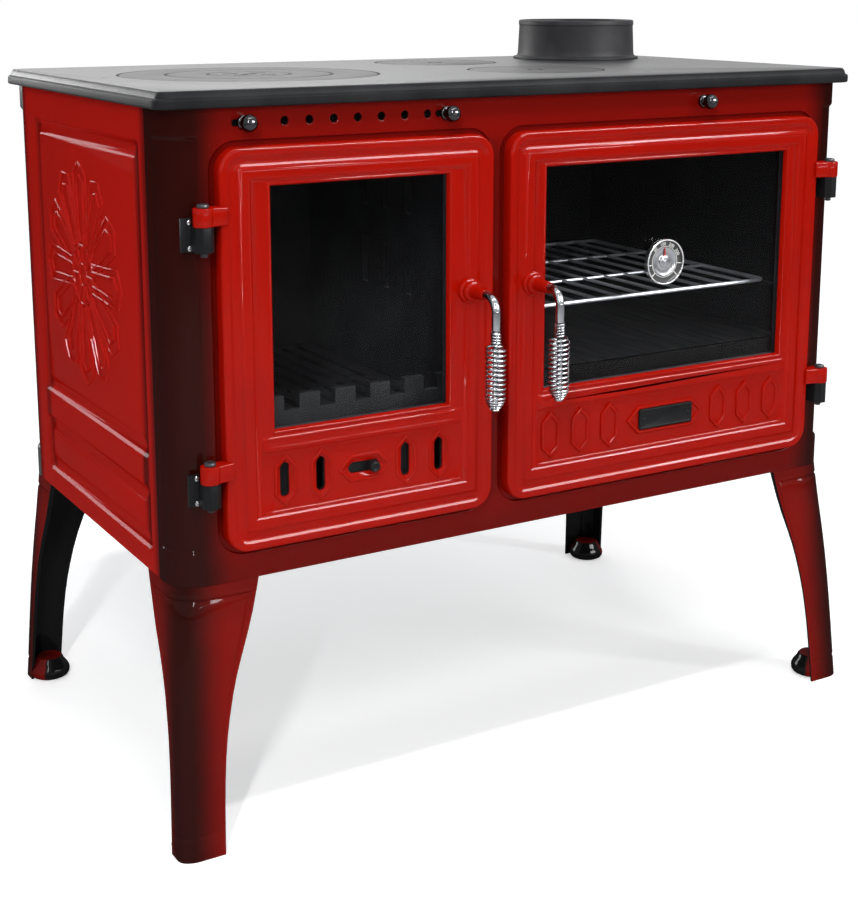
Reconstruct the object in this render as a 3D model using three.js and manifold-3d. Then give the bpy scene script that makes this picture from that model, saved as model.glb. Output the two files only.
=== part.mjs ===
import * as THREE from 'three';
import { mergeVertices } from 'three/addons/utils/BufferGeometryUtils.js';
import Module from 'manifold-3d';

// A wood-burning cookstove on four cast legs: fire door on the left, oven door on the right,
// hob plate with lids and a flue collar on top.
// Millimetres. X runs right along the front, Y to the back, Z up from the floor.

// Driving dimensions
const fireDoorWidth = 344;
const ovenDoorWidth = 485;
const doorHeight = 449;
const doorGap = 23;
const doorMargin = 57;
const doorRise = 36;
const doorHeadroom = 41;
const bodyDepth = 538;
const legHeight = 310;
const hobOverhang = 7;
const hobThickness = 19;
const cornerRadius = 40;

// Fits
const gap = 0.3;
const overrun = 5;

// Pieces, each with its own values
const casting = {
  faceThickness: 11,
  wall: 7,
  frontReturn: 52,
  backReturn: 47,
  fluteDepth: 3,
  fluteInset: 6,
  fluteBottom: 37,
  fluteTop: 28,
  rebateDepth: 4,
  rebateMargin: 6,
  landWidth: 20,
};
const sidePanel = {
  thickness: 9,
  border: 44,
  recessDepth: 4,
  fieldMargin: 10,
  fieldDrop: 1,
  bevel: 4,
  railTop: 48,
  railMiddleBottom: 99,
  railMiddleTop: 133,
  railBottom: 25,
  lowerFieldMargin: 17,
};
const basePlate = { thickness: 7, ribWidth: 8, ribInset: 14, ribBack: 20 };
const hob = {
  cornerRadius: 18,
  rimWidth: 20,
  undercut: 7,
  footBevel: 2.5,
  ovoloInset: 3,
  ovoloRise: 9,
  topInset: 8,
};
const lid = { flange: 4, core: 4, seat: 8, clearance: 0.8, slotDepth: 4 };
const largeLid = { radius: 159, fromFireDoor: -11, depthShare: -0.022 };
const innerLidRadius = 102;
const centreLidRadius = 51;
const rearLid = { radius: 84, fromOvenDoor: -93.5, depthShare: 0.524 };
const frontLid = { radius: 87, fromOvenDoor: -81.5, depthShare: -0.353 };
const liftSlot = { length: 22, width: 8, spread: 24 };
const flue = {
  fromSide: 138,
  depthShare: 0.576,
  outerRadius: 87,
  topRadius: 85,
  wall: 5,
  height: 57,
  flangeRadius: 94,
  flangeThickness: 3,
  bead: 2.5,
};
const leg = {
  armX: 98,
  armY: 88,
  thickness: 7,
  leanX: 16,
  leanY: 31,
  rim: 9,
  relief: 3,
  topRim: 13,
  footCornerRadius: 20,
  topPlate: 6,
  topPlateX: 74,
  topPlateY: 62,
};
const foot = { radius: 28, soleRadius: 22, neckRadius: 19, height: 27, edge: 5 };
const legHeightShares = [0.8, 0.58, 0.36, 0.04];
const legArmXShares = [0.9, 0.76, 0.62, 0.53];
const legArmYShares = [0.82, 0.57, 0.44, 0.37];
const door = {
  proud: 14,
  clearance: 1.5,
  cornerRadius: 26,
  edge: 3,
  rimWidth: 9,
  grooveWidth: 9,
  grooveDepth: 2,
  glassTop: 43,
  glassBottom: 134,
  glassBevel: 12,
  glassBevelDepth: 6,
  glassCorner: 3,
  panelBottom: 25,
  panelTop: 125,
  panelInset: 28,
  panelBevel: 12,
  panelDepth: 2.5,
  panelMiddle: 75,
  wall: 6,
};
const fireDoorBorder = 60;
const ovenDoorBorder = 53;
const glass = { thickness: 4, lap: 10 };
const retainer = { thickness: 3, lap: 2 };
const seal = { inset: 5, width: 8, thickness: 6 };
const airSlots = { outer: 100, inner: 55, width: 9, height: 40, recessWidth: 20, recessHeight: 54, recessDepth: 1.5 };
const registerSlot = { width: 40, height: 10, recessWidth: 62, recessHeight: 26 };
const register = { thickness: 3, travel: 20, margin: 24, edge: 20, knobRadius: 6.5, knobLength: 9, stemRadius: 3.5 };
const hexagon = { pitch: 45, inner: 88.5, width: 28, height: 60, band: 4, relief: 1.2 };
const nameplate = { width: 93, height: 26, thickness: 2.5, borderWidth: 124, borderHeight: 36, band: 4 };
const boss = { radius: 15, height: 9, neck: 3, inset: 33, rise: 268 };
const handle = {
  rodRadius: 5.2,
  reach: 70,
  bendRadius: 18,
  shankRadius: 3.2,
  shankStart: 37,
  length: 131,
  turnDegrees: 80,
};
const cam = { length: 29, width: 14, thickness: 6, clearance: 1 };
const spring = { wireRadius: 1.3, bodyRadius: 11.2, tipRadius: 5, neckPitch: 3.4, bodyPitch: 5.6, tipPitch: 3.5 };
const springTurns = { neck: 4.5, flare: 1, body: 10.5, taper: 3.5 };
const springSteps = 8;
const springSides = 5;
const hinge = {
  pinX: 20,
  pinY: 1,
  pinRadius: 4,
  barrelRadius: 11,
  knuckleHeight: 20,
  bracketHeight: 27,
  upperDrop: 71,
  lowerRise: 97,
  armWidth: 13,
  flangeThickness: 4,
  flangeOuter: 21,
  flangeInner: 9,
  headRadius: 6.5,
  headHeight: 4,
  tail: 5,
};
const airHole = { radius: 4.8, pitch: 29.8, below: 16, fromFireDoor: 1 };
const airHoleCount = 7;
const airSlide = { thickness: 3, height: 22, travel: 10, knobLeft: 138, knobRight: 113, stemRadius: 2.6, end: 14 };
const knob = { ballRadius: 9.5, collarRadius: 8, collarLength: 5, stemLength: 10 };
const damper = {
  fromOvenDoor: 54.5,
  rodRadius: 3.6,
  travel: 90,
  windowBack: 123,
  windowLength: 86,
  plate: 3,
  partition: 4,
  lip: 4,
  lipDepth: 7,
  lug: 12,
  socket: 3.5,
};
const firebox = {
  wallGap: 33,
  ovenGap: 17,
  backSpace: 62,
  liner: 12,
  grateRise: 132,
  ledge: 10,
  grate: 12,
  topClearance: 6,
  slotWidth: 14,
  slotHeight: 62,
  slotPitch: 58,
  slotRowLow: 150,
  slotRowHigh: 255,
};
const linerSlotCount = 3;
const grate = { barWidth: 14, slotWidth: 10, frame: 16 };
const retainerBar = { height: 52, thickness: 10, toothWidth: 26, toothGap: 20, toothHeight: 18, setback: 12 };
const ashDrawer = {
  hingeClear: 70,
  freeClear: 1,
  backClear: 28,
  height: 66,
  wall: 2,
  setback: 41,
  pullWidth: 70,
  pull: 9,
};
const oven = {
  side: 8,
  wall: 3,
  floorRise: 190,
  backSpace: 80,
  flange: 12,
  ledgeWidth: 9,
  ledgeHeight: 6,
  rackRise: 68,
};
const rack = { wire: 2.8, bar: 2.2, setback: 40, clearance: 4, backClear: 15.4 };
const rackBarCount = 11;
const thermometer = { radius: 29, depth: 9, dialDepth: 2, rim: 4, rise: 142, offset: 8, needleWidth: 3, needle: 1.5 };

const doorsWidth = fireDoorWidth + doorGap + ovenDoorWidth;
const bodyWidth = doorsWidth + 2 * doorMargin;
const bodyHeight = doorRise + doorHeight + doorHeadroom;
const frontFace = -bodyDepth / 2;
const backFace = bodyDepth / 2;
const sideFace = bodyWidth / 2;
const bodyTop = legHeight + bodyHeight;
const doorBottom = legHeight + doorRise;
const doorTop = doorBottom + doorHeight;
const doorFront = frontFace - door.proud;
const landFace = frontFace + casting.rebateDepth;
const doorBack = landFace - door.clearance;
const innerFace = frontFace + casting.faceThickness;
const pinLine = doorFront - hinge.pinY;
const hobBottom = bodyTop + gap;
const hobTop = hobBottom + hobThickness;
const baseTop = legHeight + basePlate.thickness;
const airLine = bodyTop - airHole.below;
const fireCentre = (fireDoorWidth - doorsWidth) / 2;
const ovenCentre = (doorsWidth - ovenDoorWidth) / 2;
const damperX = ovenCentre + damper.fromOvenDoor;
const fireboxBack = backFace - casting.wall - firebox.backSpace;

function hobSpot(x, { depthShare, radius }) {
  return { x, y: depthShare * backFace, radius };
}

const largeLidSpot = hobSpot(fireCentre + largeLid.fromFireDoor, largeLid);
const rearLidSpot = hobSpot(ovenCentre + rearLid.fromOvenDoor, rearLid);
const frontLidSpot = hobSpot(ovenCentre + frontLid.fromOvenDoor, frontLid);
const flueSpot = hobSpot(sideFace - flue.fromSide, flue);

const fireDoorPlace = { left: -doorsWidth / 2, width: fireDoorWidth, border: fireDoorBorder, hingeSide: -1 };
const ovenDoorPlace = {
  left: -doorsWidth / 2 + fireDoorWidth + doorGap,
  width: ovenDoorWidth,
  border: ovenDoorBorder,
  hingeSide: 1,
};

const colours = {
  enamel: new THREE.MeshStandardMaterial({ color: 0xa80d06, roughness: 0.18, metalness: 0.1 }),
  darkEnamel: new THREE.MeshStandardMaterial({ color: 0x5a0c08, roughness: 0.2, metalness: 0.1 }),
  castIron: new THREE.MeshStandardMaterial({ color: 0x2a2a2c, roughness: 0.75, metalness: 0.5 }),
  blackIron: new THREE.MeshStandardMaterial({ color: 0x131313, roughness: 0.7, metalness: 0.5 }),
  chrome: new THREE.MeshStandardMaterial({ color: 0xd8d8da, roughness: 0.12, metalness: 1 }),
  steel: new THREE.MeshStandardMaterial({ color: 0x3a3a3c, roughness: 0.5, metalness: 0.9 }),
  glass: new THREE.MeshStandardMaterial({ color: 0x0c0d0f, roughness: 0.05, transparent: true, opacity: 0.4 }),
  rope: new THREE.MeshStandardMaterial({ color: 0x4c4a46, roughness: 0.95, metalness: 0 }),
  white: new THREE.MeshStandardMaterial({ color: 0xe6e4de, roughness: 0.5, metalness: 0 }),
  red: new THREE.MeshStandardMaterial({ color: 0xc01a12, roughness: 0.5, metalness: 0 }),
};

// Solids: joined and cut as manifolds, handed on as buffer geometries

const wasm = await Module();
wasm.setup();

function outward(positions, index) {
  let volume = 0;
  const a = new THREE.Vector3();
  const b = new THREE.Vector3();
  const c = new THREE.Vector3();
  for (let i = 0; i < index.length; i += 3) {
    a.fromArray(positions, 3 * index[i]);
    b.fromArray(positions, 3 * index[i + 1]);
    c.fromArray(positions, 3 * index[i + 2]);
    volume += a.dot(b.cross(c));
  }
  if (volume > 0) return index;
  const turned = [];
  for (let i = 0; i < index.length; i += 3) {
    turned.push(index[i], index[i + 2], index[i + 1]);
  }
  return turned;
}

function solid(geometry) {
  const bare = geometry.clone();
  bare.deleteAttribute('normal');
  bare.deleteAttribute('uv');
  const merged = mergeVertices(bare);
  const positions = merged.getAttribute('position').array;
  const index = outward(positions, Array.from(merged.getIndex().array));
  const mesh = new wasm.Mesh({
    numProp: 3,
    vertProperties: new Float32Array(positions),
    triVerts: new Uint32Array(index),
  });
  return new wasm.Manifold(mesh);
}

function geometryOf(body) {
  const mesh = body.getMesh();
  const geometry = new THREE.BufferGeometry();
  geometry.setAttribute('position', new THREE.BufferAttribute(new Float32Array(mesh.vertProperties), 3));
  geometry.setIndex(new THREE.BufferAttribute(new Uint32Array(mesh.triVerts), 1));
  const flat = geometry.toNonIndexed();
  flat.computeVertexNormals();
  return flat;
}

function join(...bodies) {
  return bodies.reduce((sum, body) => sum.add(body));
}

function cut(body, ...tools) {
  return tools.reduce((rest, tool) => rest.subtract(tool), body);
}

function box(x0, x1, y0, y1, z0, z1) {
  const geometry = new THREE.BoxGeometry(x1 - x0, y1 - y0, z1 - z0);
  geometry.translate((x0 + x1) / 2, (y0 + y1) / 2, (z0 + z1) / 2);
  return solid(geometry);
}

const axisY = new THREE.Vector3(0, 1, 0);

function extrude(shape, depth, arcSteps) {
  return new THREE.ExtrudeGeometry(shape, { depth, bevelEnabled: false, curveSegments: arcSteps });
}

// A plan outline raised from z0 to z1
function upright(shape, z0, z1, arcSteps = 3) {
  return solid(extrude(shape, z1 - z0, arcSteps).translate(0, 0, z0));
}

// An elevation outline, drawn in X and Z, run from y0 to y1
function frontal(shape, y0, y1, arcSteps = 2) {
  const turned = extrude(shape, y1 - y0, arcSteps).rotateX(Math.PI / 2);
  return solid(turned.translate(0, y1, 0));
}

function rod(radius, from, to, sides = 12) {
  const start = new THREE.Vector3(...from);
  const run = new THREE.Vector3(...to).sub(start);
  const geometry = new THREE.CylinderGeometry(radius, radius, run.length(), sides);
  geometry.translate(0, run.length() / 2, 0);
  geometry.applyQuaternion(new THREE.Quaternion().setFromUnitVectors(axisY, run.normalize()));
  return solid(geometry.translate(start.x, start.y, start.z));
}

function rectangle(x0, x1, y0, y1, radius) {
  const shape = new THREE.Shape();
  shape.absarc(x1 - radius, y0 + radius, radius, -Math.PI / 2, 0, false);
  shape.absarc(x1 - radius, y1 - radius, radius, 0, Math.PI / 2, false);
  shape.absarc(x0 + radius, y1 - radius, radius, Math.PI / 2, Math.PI, false);
  shape.absarc(x0 + radius, y0 + radius, radius, Math.PI, 1.5 * Math.PI, false);
  shape.closePath();
  return shape;
}

// A long hexagon, pointed at both ends of its height
function longHexagon(x, y, width, height) {
  const shoulder = height / 2 - width / 2;
  const shape = new THREE.Shape();
  shape.moveTo(x, y - height / 2);
  shape.lineTo(x + width / 2, y - shoulder);
  shape.lineTo(x + width / 2, y + shoulder);
  shape.lineTo(x, y + height / 2);
  shape.lineTo(x - width / 2, y + shoulder);
  shape.lineTo(x - width / 2, y - shoulder);
  shape.closePath();
  return shape;
}

function wideHexagon(x, y, width, height) {
  const shoulder = width / 2 - height / 2;
  const shape = new THREE.Shape();
  shape.moveTo(x - width / 2, y);
  shape.lineTo(x - shoulder, y - height / 2);
  shape.lineTo(x + shoulder, y - height / 2);
  shape.lineTo(x + width / 2, y);
  shape.lineTo(x + shoulder, y + height / 2);
  shape.lineTo(x - shoulder, y + height / 2);
  shape.closePath();
  return shape;
}

// A skin over rings of equal count, capped at both ends or run round onto itself
function loft(rings, closed = false) {
  const count = rings[0].length;
  const positions = rings.flat().flatMap((point) => point.toArray());
  const index = [];
  const runs = closed ? rings.length : rings.length - 1;
  for (let ring = 0; ring < runs; ring += 1) {
    const next = (ring + 1) % rings.length;
    for (let i = 0; i < count; i += 1) {
      const j = (i + 1) % count;
      index.push(ring * count + i, ring * count + j, next * count + j);
      index.push(ring * count + i, next * count + j, next * count + i);
    }
  }
  if (!closed) {
    const start = capFaces(rings[0]);
    const end = capFaces(rings[rings.length - 1]);
    const last = (rings.length - 1) * count;
    for (const [a, b, c] of start) index.push(a, c, b);
    for (const [a, b, c] of end) index.push(last + a, last + b, last + c);
  }
  const geometry = new THREE.BufferGeometry();
  geometry.setAttribute('position', new THREE.Float32BufferAttribute(positions, 3));
  geometry.setIndex(index);
  return solid(geometry);
}

// Flattens a ring along the axis in which it has no depth and fills it, keeping its sense of turning
function capFaces(ring) {
  const size = new THREE.Box3().setFromPoints(ring).getSize(new THREE.Vector3());
  const flatAxis = ['x', 'y', 'z'].reduce((a, b) => (size[b] < size[a] ? b : a));
  const [u, v] = { x: ['y', 'z'], y: ['z', 'x'], z: ['x', 'y'] }[flatAxis];
  const outline = ring.map((point) => new THREE.Vector2(point[u], point[v]));
  const sense = Math.sign(THREE.ShapeUtils.area(outline));
  const faces = THREE.ShapeUtils.triangulateShape(outline, []);
  return faces.map(([a, b, c]) => {
    const turn = Math.sign(THREE.ShapeUtils.area([outline[a], outline[b], outline[c]]));
    return turn === sense ? [a, b, c] : [a, c, b];
  });
}

// The outline of a rounded rectangle as points, inset from its area
function roundedRing(area, inset, arcSteps) {
  const radius = Math.max(area.radius - inset, door.edge / 2);
  const reach = inset + radius;
  const centres = [
    [area.u1 - reach, area.v0 + reach],
    [area.u1 - reach, area.v1 - reach],
    [area.u0 + reach, area.v1 - reach],
    [area.u0 + reach, area.v0 + reach],
  ];
  return centres.flatMap(([u, v], quarter) => {
    const points = [];
    for (let i = 0; i <= arcSteps; i += 1) {
      const angle = (Math.PI / 2) * (quarter - 1 + i / arcSteps);
      points.push([u + radius * Math.cos(angle), v + radius * Math.sin(angle)]);
    }
    return points;
  });
}

// Rings of a rounded rectangle drawn in X and Z, each inset from its outline at a depth in Y
function frontRings({ x0, x1, z0, z1, radius }, steps, arcSteps = 3) {
  const area = { u0: x0, u1: x1, v0: z0, v1: z1, radius };
  return steps.map(([inset, y]) => roundedRing(area, inset, arcSteps).map(([u, v]) => new THREE.Vector3(u, y, v)));
}

function plateRings({ x0, x1, y0, y1, radius }, steps, arcSteps = 3) {
  const area = { u0: x0, u1: x1, v0: y0, v1: y1, radius };
  return steps.map(([inset, z]) => roundedRing(area, inset, arcSteps).map(([u, v]) => new THREE.Vector3(u, v, z)));
}

function mirrored(body, signX, signY) {
  const geometry = geometryOf(body);
  geometry.scale(signX, signY, 1);
  return solid(geometry);
}

// Front and back castings: one plan outline with rounded corners and short returns

function castingPlan(faceThickness, returnLength) {
  const inner = cornerRadius - casting.wall;
  const centreX = sideFace - cornerRadius;
  const centreY = frontFace + cornerRadius;
  const innerY = frontFace + faceThickness;
  const end = frontFace + returnLength;
  const meet = Math.asin((centreY - innerY) / inner);
  const shape = new THREE.Shape();
  shape.moveTo(-sideFace, end);
  shape.lineTo(-sideFace, centreY);
  shape.absarc(-centreX, centreY, cornerRadius, Math.PI, 1.5 * Math.PI, false);
  shape.absarc(centreX, centreY, cornerRadius, -Math.PI / 2, 0, false);
  shape.lineTo(sideFace, end);
  shape.lineTo(sideFace - casting.wall, end);
  shape.absarc(centreX, centreY, inner, 0, -meet, true);
  shape.absarc(-centreX, centreY, inner, Math.PI + meet, Math.PI, true);
  shape.lineTo(-sideFace + casting.wall, end);
  shape.closePath();
  return shape;
}

// What lies outside a front corner pillar, taken in by the depth of its flute
function outsidePillar(side, depth, z0, z1) {
  const radius = cornerRadius - depth;
  const centreX = sideFace - cornerRadius + casting.fluteDepth - depth;
  const centreY = frontFace + cornerRadius;
  const outside = sideFace + overrun;
  const shape = new THREE.Shape();
  shape.moveTo(outside, frontFace - cornerRadius);
  shape.lineTo(outside, centreY + casting.fluteInset);
  shape.lineTo(sideFace - depth, centreY + casting.fluteInset);
  shape.absarc(sideFace - cornerRadius, centreY, radius, 0, -Math.PI / 2, true);
  shape.lineTo(centreX, centreY - radius);
  shape.lineTo(centreX, frontFace - cornerRadius);
  shape.closePath();
  const region = upright(shape, z0, z1);
  return side > 0 ? region : mirrored(region, -1, 1);
}

function fluteCutter(side) {
  const top = bodyTop - casting.fluteTop;
  return outsidePillar(side, casting.fluteDepth, legHeight + casting.fluteBottom, top);
}

function doorArea(place, margin) {
  return {
    x0: place.left - margin,
    x1: place.left + place.width + margin,
    z0: doorBottom - margin,
    z1: doorTop + margin,
    radius: door.cornerRadius + margin,
  };
}

function rebateCutter(place) {
  const area = doorArea(place, casting.rebateMargin);
  return loft(frontRings(area, [
    [-casting.rebateDepth / 2, frontFace - overrun],
    [-casting.rebateDepth / 2, frontFace],
    [0, landFace],
  ]));
}

const fireOpening = {
  x0: fireDoorPlace.left + casting.landWidth,
  x1: fireDoorPlace.left + fireDoorPlace.width - casting.landWidth,
  z0: doorBottom + casting.landWidth,
  z1: doorTop - casting.landWidth,
};
const ovenOpening = {
  x0: ovenDoorPlace.left + casting.landWidth,
  x1: ovenDoorPlace.left + ovenDoorPlace.width - casting.landWidth,
  z0: legHeight + oven.floorRise,
  z1: doorTop - casting.landWidth,
};

const openingRadius = door.cornerRadius / 9;

function openingCutter({ x0, x1, z0, z1 }) {
  return frontal(rectangle(x0, x1, z0, z1, openingRadius), frontFace - overrun, innerFace + overrun);
}

const airHolesX = fireCentre + airHole.fromFireDoor;
const airKnobLeft = airHolesX - airSlide.knobLeft;
const airKnobRight = airHolesX + airSlide.knobRight;

function frontCasting() {
  const plan = castingPlan(casting.faceThickness, casting.frontReturn);
  const tools = [fluteCutter(1), fluteCutter(-1)];
  for (const place of [fireDoorPlace, ovenDoorPlace]) tools.push(rebateCutter(place));
  tools.push(openingCutter(fireOpening), openingCutter(ovenOpening));
  for (let i = 0; i < airHoleCount; i += 1) {
    const x = airHolesX + (i - (airHoleCount - 1) / 2) * airHole.pitch;
    tools.push(rod(airHole.radius, [x, frontFace - overrun, airLine], [x, innerFace + overrun, airLine], 8));
  }
  const half = airSlide.stemRadius + gap;
  for (const x of [airKnobLeft, airKnobRight]) {
    const slot = rectangle(x - airSlide.travel - half, x + half, airLine - half, airLine + half, half);
    tools.push(frontal(slot, frontFace - overrun, innerFace + overrun));
  }
  const bore = damper.rodRadius + gap;
  tools.push(rod(bore, [damperX, frontFace - overrun, airLine], [damperX, innerFace + overrun, airLine], 8));
  return cut(upright(plan, legHeight, bodyTop), ...tools);
}

function backCasting() {
  const plan = castingPlan(casting.wall, casting.backReturn);
  const shell = cut(upright(plan, legHeight, bodyTop), fluteCutter(1), fluteCutter(-1));
  return mirrored(shell, 1, -1);
}

// Side panels: a flat slab with an upper and a lower recess, each holding a raised field

const panelFront = frontFace + casting.frontReturn + gap;
const panelBack = backFace - casting.backReturn - gap;

function sideRings(y0, y1, z0, z1, steps) {
  return steps.map(([inset, depth]) => [
    new THREE.Vector3(-sideFace + depth, y0 + inset, z0 + inset),
    new THREE.Vector3(-sideFace + depth, y1 - inset, z0 + inset),
    new THREE.Vector3(-sideFace + depth, y1 - inset, z1 - inset),
    new THREE.Vector3(-sideFace + depth, y0 + inset, z1 - inset),
  ]);
}

function panelField(z0, z1, fieldMargin) {
  const y0 = panelFront + sidePanel.border;
  const y1 = panelBack - sidePanel.border;
  const pocket = loft(sideRings(y0, y1, z0, z1, [
    [-sidePanel.bevel, -sidePanel.bevel],
    [sidePanel.bevel, sidePanel.recessDepth],
  ]));
  const field = loft(sideRings(y0 + fieldMargin, y1 - fieldMargin, z0 + fieldMargin, z1 - fieldMargin, [
    [0, sidePanel.recessDepth + overrun],
    [0, sidePanel.recessDepth],
    [sidePanel.bevel, sidePanel.fieldDrop],
  ]));
  return cut(pocket, field);
}

function leftSidePanel() {
  const slab = box(-sideFace, -sideFace + sidePanel.thickness, panelFront, panelBack, legHeight, bodyTop);
  const upperBottom = legHeight + sidePanel.railMiddleTop;
  const upper = panelField(upperBottom, bodyTop - sidePanel.railTop, sidePanel.fieldMargin);
  const lowerTop = legHeight + sidePanel.railMiddleBottom;
  const lower = panelField(legHeight + sidePanel.railBottom, lowerTop, sidePanel.lowerFieldMargin);
  return cut(slab, upper, lower);
}

// Base plate between the castings, with two ribs that carry the ash drawer

const drawerLeft = fireDoorPlace.left - hinge.pinX + ashDrawer.hingeClear;
const drawerRight = fireOpening.x1 - openingRadius - ashDrawer.freeClear;
const drawerFloor = fireOpening.z0 + gap;

function basePlateSolid() {
  const side = sideFace - sidePanel.thickness - gap;
  const front = innerFace + gap;
  const back = backFace - casting.wall - gap;
  const corner = cornerRadius - casting.wall;
  const plate = upright(rectangle(-side, side, front, back, corner), legHeight, baseTop, 3);
  const ribs = [drawerLeft + basePlate.ribInset, drawerRight - basePlate.ribInset - basePlate.ribWidth].map((x) =>
    box(x, x + basePlate.ribWidth, front + gap, fireboxBack - basePlate.ribBack, baseTop - gap, drawerFloor - gap));
  return join(plate, ...ribs);
}

// Hob plate, its lids and rings, and the flue collar

function disc(spot, radius, z0, z1, sides) {
  return rod(radius, [spot.x, spot.y, z0], [spot.x, spot.y, z1], sides);
}

function seatCutter(spot, radius, sides) {
  const seat = disc(spot, radius + lid.clearance, hobTop - lid.flange, hobTop + overrun, sides);
  const well = disc(spot, radius - lid.seat, hobBottom - overrun, hobTop, sides);
  return join(seat, well);
}

function hobPlate() {
  const halfWidth = sideFace + hobOverhang;
  const halfDepth = bodyDepth / 2 + hobOverhang;
  const area = { x0: -halfWidth, x1: halfWidth, y0: -halfDepth, y1: halfDepth, radius: hob.cornerRadius };
  const plate = loft(plateRings(area, [
    [hob.footBevel, hobBottom],
    [0, hobBottom + hob.footBevel],
    [0, hobBottom + hob.ovoloRise],
    [hob.ovoloInset, hobBottom + hob.ovoloRise + hob.footBevel],
    [(hob.ovoloInset + hob.topInset) / 2, hobTop - hob.footBevel],
    [hob.topInset, hobTop],
  ]));
  const inset = hob.rimWidth + hobOverhang;
  const under = box(-halfWidth + inset, halfWidth - inset, -halfDepth + inset, halfDepth - inset,
    hobBottom - overrun, hobBottom + hob.undercut);
  const flueHole = disc(flueSpot, flue.topRadius - flue.wall, hobBottom - overrun, hobTop + overrun, 28);
  const seats = [seatCutter(largeLidSpot, largeLid.radius, 40)];
  for (const spot of [rearLidSpot, frontLidSpot]) seats.push(seatCutter(spot, spot.radius, 28));
  return cut(plate, under, ...seats, flueHole);
}

function lidDisc(spot, radius, sides) {
  const flangeBottom = hobTop - lid.flange + gap;
  const flange = disc(spot, radius, flangeBottom, hobTop, sides);
  const core = disc(spot, radius - lid.seat - lid.clearance, flangeBottom - lid.core, hobTop, sides);
  return join(flange, core);
}

function liftSlotCutter({ x, y }) {
  const half = liftSlot.length / 2;
  const outline = rectangle(-half, half, -liftSlot.width / 2, liftSlot.width / 2, liftSlot.width / 2);
  const geometry = extrude(outline, lid.slotDepth + overrun, 1);
  return solid(geometry.translate(x, y, hobTop - lid.slotDepth));
}

function centreLid() {
  const cutters = [liftSlotCutter(largeLidSpot)];
  for (let i = 0; i < 4; i += 1) {
    const angle = Math.PI / 4 + (i * Math.PI) / 2;
    const x = largeLidSpot.x + liftSlot.spread * Math.cos(angle);
    const y = largeLidSpot.y + liftSlot.spread * Math.sin(angle);
    cutters.push(liftSlotCutter({ x, y }));
  }
  return cut(lidDisc(largeLidSpot, centreLidRadius, 24), ...cutters);
}

function plainLid(spot) {
  return cut(lidDisc(spot, spot.radius, 28), liftSlotCutter(spot));
}

function flueCollar() {
  const outer = [
    [flue.flangeRadius, hobTop + gap],
    [flue.flangeRadius, hobTop + gap + flue.flangeThickness],
    [flue.outerRadius, hobTop + gap + 2 * flue.flangeThickness],
    [flue.topRadius, hobTop + flue.height - flue.bead],
    [flue.topRadius - flue.bead / 2, hobTop + flue.height],
    [flue.topRadius - flue.wall, hobTop + flue.height],
    [flue.topRadius - flue.wall, hobTop + gap],
    [flue.flangeRadius, hobTop + gap],
  ].map(([radius, z]) => new THREE.Vector2(radius, z));
  const geometry = new THREE.LatheGeometry(outer, 28).rotateX(Math.PI / 2);
  return solid(geometry.translate(flueSpot.x, flueSpot.y, 0));
}

// Legs: an angle section that tapers and leans outward, on a round foot

function legRing(height, armX, armY, relief) {
  const fall = 1 - height / legHeight;
  const x = -leg.leanX * fall;
  const y = -leg.leanY * fall;
  const radius = THREE.MathUtils.lerp(cornerRadius, leg.footCornerRadius, fall);
  const inner = radius - leg.thickness;
  const points = [[armX, 0], [armX - leg.rim, 0], [Math.max(armX - leg.rim - relief, radius), relief]];
  for (let i = 0; i <= 3; i += 1) {
    const angle = 1.5 * Math.PI - (i * Math.PI) / 6;
    const reach = radius - relief;
    points.push([radius + reach * Math.cos(angle), radius + reach * Math.sin(angle)]);
  }
  points.push([relief, Math.max(armY - leg.rim - relief, radius)], [0, armY - leg.rim], [0, armY]);
  points.push([leg.thickness, armY]);
  for (let i = 0; i <= 2; i += 1) {
    const angle = Math.PI + (i * Math.PI) / 4;
    points.push([radius + inner * Math.cos(angle), radius + inner * Math.sin(angle)]);
  }
  points.push([armX, leg.thickness]);
  return points.map(([u, v]) => new THREE.Vector3(x + u, y + v, height));
}

function frontLeftLeg() {
  const top = legHeight - gap;
  const rings = [
    legRing(top, leg.armX, leg.armY, 0),
    legRing(top - leg.topRim, leg.armX, leg.armY, 0),
    legRing(top - leg.topRim - leg.relief, leg.armX, leg.armY, leg.relief),
  ];
  legHeightShares.forEach((share, i) => {
    const armX = leg.armX * legArmXShares[i];
    const armY = leg.armY * legArmYShares[i];
    rings.push(legRing(legHeight * share, armX, armY, leg.relief));
  });
  const profile = [
    [0, 0],
    [foot.soleRadius, 0],
    [foot.radius, foot.edge],
    [foot.radius, foot.height / 2],
    [foot.neckRadius, foot.height],
    [0, foot.height],
  ].map(([radius, z]) => new THREE.Vector2(radius, z));
  const sole = new THREE.LatheGeometry(profile, 12).rotateX(Math.PI / 2);
  sole.translate(foot.radius - leg.leanX, foot.radius - leg.leanY, 0);
  const inside = leg.thickness / 2;
  const plate = box(inside, inside + leg.topPlateX, inside, inside + leg.topPlateY, top - leg.topPlate, top);
  const cornerTrim = upright(cornerOutside(), top - leg.topPlate - overrun, top + overrun);
  const angle = join(loft(rings), cut(plate, cornerTrim), solid(sole));
  return solid(geometryOf(angle).translate(-sideFace, frontFace, 0));
}

// What lies outside the rounded corner of a plan square
function cornerOutside() {
  const shape = new THREE.Shape();
  shape.moveTo(-overrun, -overrun);
  shape.lineTo(cornerRadius, -overrun);
  shape.lineTo(cornerRadius, leg.thickness / 2);
  shape.absarc(cornerRadius, cornerRadius, cornerRadius - leg.thickness / 2, 1.5 * Math.PI, Math.PI, true);
  shape.lineTo(-overrun, cornerRadius);
  shape.closePath();
  return shape;
}

// Doors: a slab with rolled edges, a sunk line round it, a glass opening and a lower panel

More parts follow.
